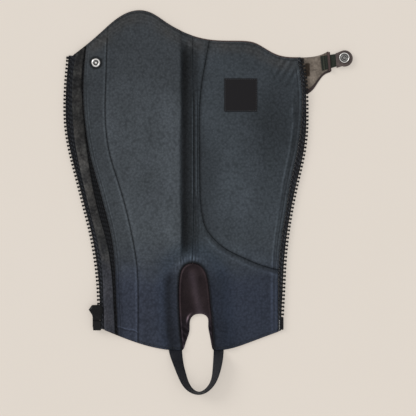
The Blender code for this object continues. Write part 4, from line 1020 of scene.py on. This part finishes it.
# its stops: lighter in a band beside the teeth and about the middle of its length, and painted shade near the
# lining's edge
left_tape = shell(
    "zip_tape_left_twill", left_tape_grid, tape_low, tape_low + TAPE + cord_bead(from_teeth), black_tape,
    painted_light_and_wear(bell(from_teeth - 2.4, 1.2) + 0.6 * bell(ty + 60, 50) - 1.5 * ease((11 - from_lining) / 4)),
)
declare(left_tape, "tape", ["zip_tape_left"], [left_tape_grid])

tape_start = meet(right_tape_line, np.array([edge_top + (0.0, -1.0)]))
right_tape_grid = between(
    cut_out(right_lining, edge_top, edge_foot),
    cut_out(right_tape_line, tape_start, meet(right_tape_line, hem_right)), 1.3, (TOUCHING, 0, 0.4, 0.4),
)
tx, ty = right_tape_grid[..., 0], right_tape_grid[..., 1]
from_lining, from_teeth, _, _ = from_edges(right_tape_grid)
tape_low = zip_mid(tx, ty) - TAPE / 2 - over_tab(ty) * (1 - ease(from_lining / 1.8))
# its stops: lighter in a band beside the teeth
right_tape = shell(
    "zip_tape_right_twill", right_tape_grid, tape_low, tape_low + TAPE + cord_bead(from_teeth), black_tape,
    painted_light_and_wear(1.4 * bell(from_teeth - 2.2, 1.0)),
)
declare(right_tape, "tape", ["zip_tape_right"], [right_tape_grid])

GUARD_EDGES = np.array([
    # y, left edge, right edge
    (190, -172.5, -161.6), (160, -176.4, -164.6), (133, -177.0, -163.9), (68, -171.6, -157.9),
    (16, -160.4, -149.6), (-17, -152.6, -141.8), (-49, -144.4, -132.9), (-82, -138.4, -126.9),
    (-114, -136.6, -124.0), (-140, -135.7, -122.7), (-167, -134.9, -121.4),
])
guard_lines = (side(x, GUARD_EDGES[:, 0], tail=25.0, count=60, back=4) for x in GUARD_EDGES[:, 1:].T)
guard_edges = [left_edge(line) for line in guard_lines]
guard_grid = left_panel(*guard_edges, 1.8, (0, 0, 0.6, 0.6))
gx, gy = guard_grid[..., 0], guard_grid[..., 1]
guard_low = relief(gx, gy) + GUARD_LOW
g_left, g_right, _, _ = from_edges(guard_grid)
guard_high = guard_low + GUARD + 0.5 * slack(gx * 1.5, gy * 1.5) - rolled(np.minimum(g_left, g_right), 0.8)
nap = slack(gx * 2.2, gy * 2.2)
# its stops: lighter patches of scuffed nap, a painted highlight along its left edge, and painted shade at its
# right edge, where it dips under the lining
guard_wear_and_light = 0.6 * nap + 1.1 * bell(gy - 45, 42) + 0.6 * bell(gy + 25, 32) + 0.4 * ease((-30 - gy) / 50)
guard_wear_and_light = guard_wear_and_light + 0.3 * bell(g_left - 1, 2) - 0.5 * bell(g_right, 2.2) * ease((gy + 20) / 40)
dark_suede = hide(
    "brown_black_suede", "#1e1e1f", "#383837", grain_mm=2.4, mottle_mm=9.0, roughness=0.95, depth=0.3,
    sheen=0.05, gloss=0.05, foot="#313237", fleck=0.4,
)
suede_guard = shell(
    "zip_guard_suede", guard_grid, guard_low, np.maximum(guard_high, guard_low + 0.1), dark_suede,
    painted_light_and_wear(guard_wear_and_light, 0.2 * nap + 0.1 * bell(gy - 40, 60)),
)
declare(suede_guard, "suede", ["zip_guard"], [guard_grid])


def moulded(name, colour, roughness, fine_mm):
    """Moulded acetal: one dark colour with a low gloss, and the faint orange peel of its tool."""
    made, tree = blank(name)
    place = put(tree, "TexCoord").outputs["Object"]
    peel = put(tree, "TexNoise", {"Vector": place, "Scale": 1000.0 / fine_mm})
    rough = put(tree, "MapRange", {0: peel, 3: roughness - 0.08, 4: roughness + 0.1})
    bump = put(tree, "Bump", {"Height": peel, "Distance": 0.03 * MM})
    surface(tree, {
        "Base Color": linear(colour), "Roughness": rough, "Normal": bump,
        "IOR": 1.48, "Specular IOR Level": 0.18,
    })
    return made


acetal = moulded("black_acetal", "#08080a", 0.42, 0.6)
TOOTH = np.array([
    # along the zip, out from the root
    (-1.3, -1.2), (-1.3, 1.5), (-1.0, 2.1), (-1.0, 2.9), (-1.45, 3.4), (-1.45, 4.3), (-0.95, 4.8),
    (0.95, 4.8), (1.45, 4.3), (1.45, 3.4), (1.0, 2.9), (1.0, 2.1), (1.3, 1.5), (1.3, -1.2),
])
TOOTH_MIDDLE = np.array([0, 1.8])
BEVEL, BEVELLED = 0.35, 0.8  # the height of a tooth's bevel, and its outline's scale above it


def teeth(name, root, tips, ends, node):
    """A row of teeth: one tooth's outline at four heights, the outer two drawn in, carried to
    each place along the root line and turned with it."""
    line = cut_out(root, *(root[np.argmin(np.abs(root[:, 1] - y))] for y in ends))
    at, along = steps(line, np.arange(PITCH / 2, run_of(line)[-1], PITCH), 1)
    out = np.column_stack([along[:, 1], -along[:, 0]])
    if np.sum(out * (tips[len(tips) // 2] - root[len(root) // 2])) < 0:
        out = -out
    heights = np.array([-TOOTH_HALF, BEVEL - TOOTH_HALF, TOOTH_HALF - BEVEL, TOOTH_HALF])
    shrink = np.array([BEVELLED, 1, 1, BEVELLED])
    form = TOOTH_MIDDLE + (TOOTH - TOOTH_MIDDLE)[None] * shrink[:, None, None]
    ahead, outward = form[None, ..., :1] * along[:, None, None], form[None, ..., 1:] * out[:, None, None]
    z = zip_mid(*at.T)[:, None, None] + heights[None, :, None] + np.zeros(len(TOOTH))
    points = np.concatenate([at[:, None, None] + ahead + outward, z[..., None]], axis=3).reshape(-1, 3)
    turned_in = along[0, 0] * out[0, 1] - along[0, 1] * out[0, 0] > 0
    made = mesh_of(name, points, tubes(len(heights), len(TOOTH), len(at), turned_in), acetal)
    made.data.shade_flat()
    fit(made, "teeth", node)


teeth("teeth_left", left_root, left_tips, LEFT_TEETH_Y, "zip_teeth_left")
teeth("teeth_right", right_root, right_tips, RIGHT_TEETH_Y, "zip_teeth_right")
for name in ("top_stop_left", "top_stop_right", "zip_slider", "zip_pull", "zip_box", "zip_pin"):
    node = bpy.data.objects[name]
    for slot in node.material_slots:
        slot.material = acetal

SLIDER_LEFT = np.array([(-150.7, -134.1), (-154.4, -139.4), (-150.1, -146.5), (-149.2, -153.8)])
SLIDER_RIGHT = np.array([(-139.1, -133.9), (-136.9, -138.4), (-138.1, -145.0), (-140.8, -153.8)])
SLIDER_TOP, CROWN_RISE, CROWN_RIB, RIB_PITCH = 3.4, 1.0, 0.5, 2.4
crown_grid = between(SLIDER_LEFT, SLIDER_RIGHT, 0.5)
sx, sy = crown_grid[..., 0], crown_grid[..., 1]
s_rim = nearest_edge(crown_grid)
crown_base = level(crown_grid, TAPE_MID + SLIDER_LIFT + SLIDER_TOP - 0.1)
ribs = 0.5 + 0.5 * np.cos(2 * np.pi * (sy + 0.45 * sx) / RIB_PITCH)
ribs = ribs * ease((sy + 148.5) / 2) * ease(s_rim / 1.6)
crown = shell(
    "slider_crown", crown_grid, crown_base,
    crown_base + 0.15 + CROWN_RISE * (1 - ease(1 - s_rim / 5) ** 2) + CROWN_RIB * ribs, acetal,
)
fit(crown, "teeth")

TAPE_END_X, TAPE_END_Y = 92.8, (-153.0, -166.0)  # the tape's foot is stitched in pale thread
foot_row = np.column_stack([np.full(40, TAPE_END_X), np.linspace(*TAPE_END_Y, 40)])
foot_row = np.column_stack([foot_row, zip_mid(*foot_row.T) + TAPE / 2 + 0.05])
pale_thread = waxed_thread("thread_pale", "#c9c7c2")
stitches("stitches_tape_foot", foot_row, 2.1, 1.4, pale_thread, "tape", 0.3)

# The closing tab: suede on an under leather, a short length of elastic, a folded bar and a round
# end that carries the snap. It runs under the right zip and is sewn to the outer leather.
TAB_UPPER = [(116.9, 188.4), (132.3, 188.9), (141.4, 190.3), (148.3, 192.4), (156.0, 196.4)]
TAB_LOWER = [
    (122.9, 140.2), (127.5, 140.6), (134.6, 144.6), (140.1, 151.4), (146.0, 160.3),
    (152.5, 166.7), (159.2, 169.4),
]
TAB_BAR = np.array([(154.4, 195.2), (158.3, 195.4), (160.4, 170.2), (156.6, 169.4)])
TAB_ELASTIC = np.array([(145.6, 189.7), (170.0, 193.6), (170.0, 177.4), (148.3, 171.0)])
TAB_END_SQUARE = [(167.0, 174.6), (165.4, 193.4)]
TAB_END_CENTRE, TAB_END_RADIUS, TAB_LEATHER = (177.4, 186.9), 10.6, 1.4
TAB_END_MIDDLE = (175.5, 186.4)
UNDER_LEATHER, SUEDE_LOW, SUEDE = 0.75, 0.8, 0.8
TAB_RIB, TAB_RIB_DEEP = 2.4, 0.15
SLIT_LOW, SLIT_HIGH = (127.0, 165.0), (131.2, 179.8)
grey_suede = hide(
    "grey_brown_suede", "#5e554c", "#7f756b", 2.4, 12.0, 0.95, 0.2, sheen=0.2, gloss=0.1, fleck=0.25,
)
brown_edge = hide("tab_brown_leather", "#281c1b", "#3e2f2d", 1.3, 14.0, 0.6, 0.1, gloss=0.3)
tab_upper, tab_lower = smooth(TAB_UPPER), smooth(TAB_LOWER)
tab_root_line = right_lining + (GAP, 0)
tab_root = cut_out(tab_root_line, meet(tab_root_line, tab_upper), meet(tab_root_line, tab_lower))
tab_top = cut_out(tab_upper, tab_root[0], tab_upper[-1])
tab_bottom = cut_out(tab_lower, tab_root[-1], tab_lower[-1])
tab_tip = np.linspace(tab_upper[-1], tab_lower[-1], 20)
under_grid = panel([tab_root], [tab_tip], tab_top, tab_bottom, 2.0)
upper_grid = panel([tab_root], [tab_tip], tab_top, tab_bottom, 1.0, (0, 0.6, 0.5, 4.4))
tab_under = shell(
    "tab_under_leather", under_grid, level(under_grid, 0),
    UNDER_LEATHER - rolled(nearest_edge(under_grid), 0.3), brown_edge,
)
declare(tab_under, "tab_suede", (), [under_grid])
ux, uy = upper_grid[..., 0], upper_grid[..., 1]
tab_crease = -0.25 * bell(uy - 172.0 - 0.1 * (ux - 136), 0.9) * bell(ux - 137, 5)
suede_high = SUEDE_LOW + SUEDE + 0.25 * slack(ux * 1.7, uy * 1.7) + tab_crease
slit = ease(1.4 - beyond(ux, uy, SLIT_LOW, SLIT_HIGH) / 1.1)
# its stops: painted shade in the crease and along the lower edge, and the slit sunk, darker and warmer
suede_shade_and_slit = 3.0 * tab_crease - 2.4 * slit - 0.6 * bell(from_edges(upper_grid)[3], 1.0)
tab_suede = shell(
    "tab_suede_face", upper_grid, level(upper_grid, SUEDE_LOW),
    suede_high - rolled(nearest_edge(upper_grid), 0.6) - 0.4 * slit, grey_suede,
    painted_light_and_wear(suede_shade_and_slit + 0.5 * slack(ux * 2, uy * 2), 0.5 * slit),
)
declare(tab_suede, "tab_suede", ["tab_base"], [upper_grid])


def quad(corners, step):
    """The grid between four corners, given from the top left one round to the right."""
    return between(corners[[0, 3]], corners[[1, 2]], step)


elastic_low = OUTER + GAP
elastic_grid = quad(TAB_ELASTIC, 0.6)
cross_ribs = np.cos(2 * np.pi * from_edges(elastic_grid)[2] / TAB_RIB)
keeper = elastic_grid[..., 0] - 150.4 + 0.09 * (elastic_grid[..., 1] - 181)  # a thread laid across it
# a lighter line of the keeper thread, with painted shade beside it and along the elastic's edges
keeper_thread_and_shade = 1.3 * bell(keeper, 0.6) - 1.5 * bell(np.abs(keeper) - 1.4, 0.6)
tab_elastic = shell(
    "tab_elastic_knit", elastic_grid, level(elastic_grid, elastic_low),
    elastic_low + ELASTIC - TAB_RIB_DEEP + TAB_RIB_DEEP * cross_ribs,
    knitted("green_elastic_knit", "#1d211b", "#3d443a"),
    painted_light_and_wear(keeper_thread_and_shade - 0.8 * bell(nearest_edge(elastic_grid), 0.6), 0.3 * bell(keeper, 0.8)),
)
declare(tab_elastic, "green_elastic", ["tab_elastic"], [elastic_grid])
bar_low = elastic_low + ELASTIC + GAP
bar_grid = quad(TAB_BAR, 0.6)
bar_left, bar_right, _, _ = from_edges(bar_grid)
# its stops: a painted highlight on the fold near its left edge and painted shade at its right edge
tab_bar = shell(
    "tab_bar_leather", bar_grid, level(bar_grid, bar_low),
    bar_low + TAB_LEATHER - rolled(nearest_edge(bar_grid), 1.2), brown_edge,
    painted_light_and_wear(0.9 * bell(bar_left - 1.8, 1.0) - 0.8 * bell(bar_right, 0.8)),
)
declare(tab_bar, "tab_suede", ["tab_bar"], [bar_grid])


def carried_round(name, outline, centre, profile, finish):
    """A profile of (share of the way from the centre to the outline, height, painted shade in stops)
    carried round the outline, closed at the centre with one point above and one below."""
    profile = np.array(profile, float)
    ring, n, count = profile[1:-1], len(outline), len(profile) - 2
    flat = centre + ring[:, None, :1] * (outline - centre)[None]
    points = np.concatenate([flat, np.repeat(ring[:, 1:2, None], n, axis=1)], axis=2).reshape(-1, 3)
    points = np.concatenate([points, [(*centre, profile[0, 1]), (*centre, profile[-1, 1])]])
    k, tip, last = np.arange(n), np.full(n, n * count), (count - 1) * n
    ahead = (k + 1) % n
    faces = rings(count, n)[:, [0, 3, 2, 1]].tolist() + np.stack([tip, k, ahead], axis=1).tolist()
    faces += np.stack([tip + 1, last + ahead, last + k], axis=1).tolist()
    stops = np.concatenate([np.repeat(ring[:, 2], n), profile[[0, -1], 2]])
    return mesh_of(name, points, faces, finish, wear_and_painted_light=painted_light_and_wear(stops))


turn = np.linspace(math.radians(112), math.radians(-108), 61)
end_arc = np.array(TAB_END_CENTRE) + TAB_END_RADIUS * np.column_stack([np.cos(turn), np.sin(turn)])
end_outline = np.concatenate([np.linspace(*TAB_END_SQUARE, 17), end_arc])[::-1]
inward = np.array([0, 0.2, 0.4, 0.6, 0.75, 0.86, 0.92, 0.955, 0.98, 0.995, 1.0])
end_top = bar_low + TAB_LEATHER - rolled((1 - inward) * TAB_END_RADIUS, 0.55)
end_foot = [(1.0, bar_low + 0.3, 0), (0.97, bar_low, 0), (0.0, bar_low, 0)]
end_profile = [*zip(inward, end_top, 0 * inward), *end_foot]
brown_suede = hide(
    "brown_suede", "#4c4341", "#605653", 2.0, 10.0, 0.95, 0.15, sheen=0.08, gloss=0.1, fleck=0.25,
)
tab_end = carried_round("tab_end_suede", end_outline, np.array(TAB_END_MIDDLE), end_profile, brown_suede)
fit(tab_end, "tab_suede", "tab_end")

# The snap, turned and nickel plated: the socket and its cap on the tab's end, and the cap and
# the stud at the top left corner.
SOCKET_CENTRE = (176.9, 187.8)


def plated(name, dark, light, scuffs_per_metre):
    """Nickel plate with fine scuffs, which move its colour and its gloss a little; painted shade darkens it.
    """
    made, tree = blank(name)
    place = put(tree, "TexCoord").outputs["Object"]
    scuffs = put(tree, "TexNoise", {"Vector": place, "Scale": scuffs_per_metre, "Detail": 4.0})
    rough = put(tree, "MapRange", {0: scuffs, 3: 0.18, 4: 0.42})
    colour = colour_with_wear_and_light(tree, blend(tree, scuffs, dark, light))
    surface(tree, {"Base Color": colour, "Metallic": 1.0, "Roughness": rough})
    return made


nickel = plated("nickel_plate", "#cfcdc9", "#dcdad7", 900.0)


def turned(name, centre, base, profile, node):
    """A profile of (radius, height, darkening in stops) turned about a vertical axis in 64 steps. The
    grooves and the rim's foot are darkened: painted shade, with the tarnish that gathers there."""
    around = np.linspace(0, -2 * np.pi, 64, endpoint=False)
    circle = np.array(centre) + np.column_stack([np.cos(around), np.sin(around)])
    raised = [(radius, base + z, stops) for radius, z, stops in profile]
    fit(carried_round(name, circle[::-1], np.array(centre), raised, nickel), "steel", node)


cap_base = float(lining_low(*np.array(STUD_CENTRE)[:, None])[0]) + LINING + GAP + 0.1
stud_base = float(relief(*np.array(STUD_CENTRE)[:, None])[0]) - GAP - 2.0
# the third number darkens each ring: painted shade in the grooves and round the rim's foot, with some tarnish
turned("snap_cap_turned", STUD_CENTRE, cap_base, [
    (0, 1.5, 0.3), (0.8, 1.45, 0.2), (1.2, 1.3, -0.8), (1.6, 1.1, -2.6), (2.4, 1.1, -3.2), (3.2, 1.4, -2.8),
    (3.7, 1.75, -1.0), (4.1, 1.9, 0.1), (4.8, 1.75, 0.2), (5.4, 1.3, 0), (5.8, 0.8, -0.6), (6.0, 0.3, -2),
    (5.9, 0.0, -3), (0, 0, -3),
], "snap_stud_cap")
turned("snap_stud_turned", STUD_CENTRE, stud_base, [
    (0, 1.6, 0), (4.6, 1.6, 0), (5.0, 1.4, 0), (5.0, 1.05, 0), (4.6, 0.85, 0), (2.6, 0.7, -1), (2.2, 0.3, -1),
    (2.1, -0.8, -1), (2.35, -1.4, 0), (2.2, -2.0, 0), (1.7, -2.2, 0), (0, -2.2, 0),
], "snap_stud")
turned("snap_socket_turned", SOCKET_CENTRE, bar_low + TAB_LEATHER + GAP, [
    (0, 0.5, -3.2), (0.7, 0.5, -1.8), (1.6, 0.5, -1.8), (2.0, 0.6, -3.6), (2.5, 1.2, -3.8),
    (2.9, 1.5, -2.8), (3.3, 1.6, -1.4), (3.8, 1.5, -1.6), (4.1, 1.3, -2.6), (4.5, 1.2, -3.6),
    (5.1, 1.5, -3.0), (5.5, 2.0, -0.5), (6.0, 2.15, 0.2), (6.4, 2.0, 0), (6.65, 1.5, -1.5),
    (6.7, 0.4, -3), (6.4, 0.0, -3), (0, 0, -3),
], "snap_socket")
turned("snap_under_cap_turned", SOCKET_CENTRE, bar_low - GAP - 2.6, [
    (0, 2.6, 0), (5.5, 2.6, 0), (5.9, 2.3, 0), (6.0, 1.8, 0), (5.6, 1.2, 0), (4.8, 0.6, 0), (3.6, 0.2, 0),
    (2.5, 0, 0), (0, 0, 0),
], "snap_socket_cap")

# The label, a bare square of black coated cloth sewn to the calf lining.
LABEL_LEFT, LABEL_RIGHT, LABEL_FOOT, LABEL_TOP, LABEL = 20.9, 63.8, 117.9, 161.1, 0.4
label_sides = [np.array([(x, LABEL_TOP), (x, LABEL_FOOT)]) for x in (LABEL_LEFT, LABEL_RIGHT)]
label_grid = between(*label_sides, 1.5)
bx, by = label_grid[..., 0], label_grid[..., 1]
label_low = lining_low(bx, by) + LINING + GAP
label_rim = nearest_edge(label_grid)
label = shell(
    "label_cloth", label_grid, label_low,
    label_low + LABEL - rolled(label_rim, 0.3) - 0.12 * bell(label_rim - 2.1, 0.7),
    woven("label_coated_cloth", "#151416", "#221f22", 0.9, 0.6, 0.1),
)
declare(label, "label", ["label"], [label_grid])
hem = np.concatenate([
    label_grid[3, 3:-3], label_grid[3:-3, -4], label_grid[-4, -3:2:-1], label_grid[-3:2:-1, 3],
])
hem = np.column_stack([hem, lining_low(*hem.T) + LINING + GAP + LABEL])
stitches("stitches_label", hem, 2.8, 1.8, waxed_thread("thread_grey", "#3d3f43"), "label", 0.22)
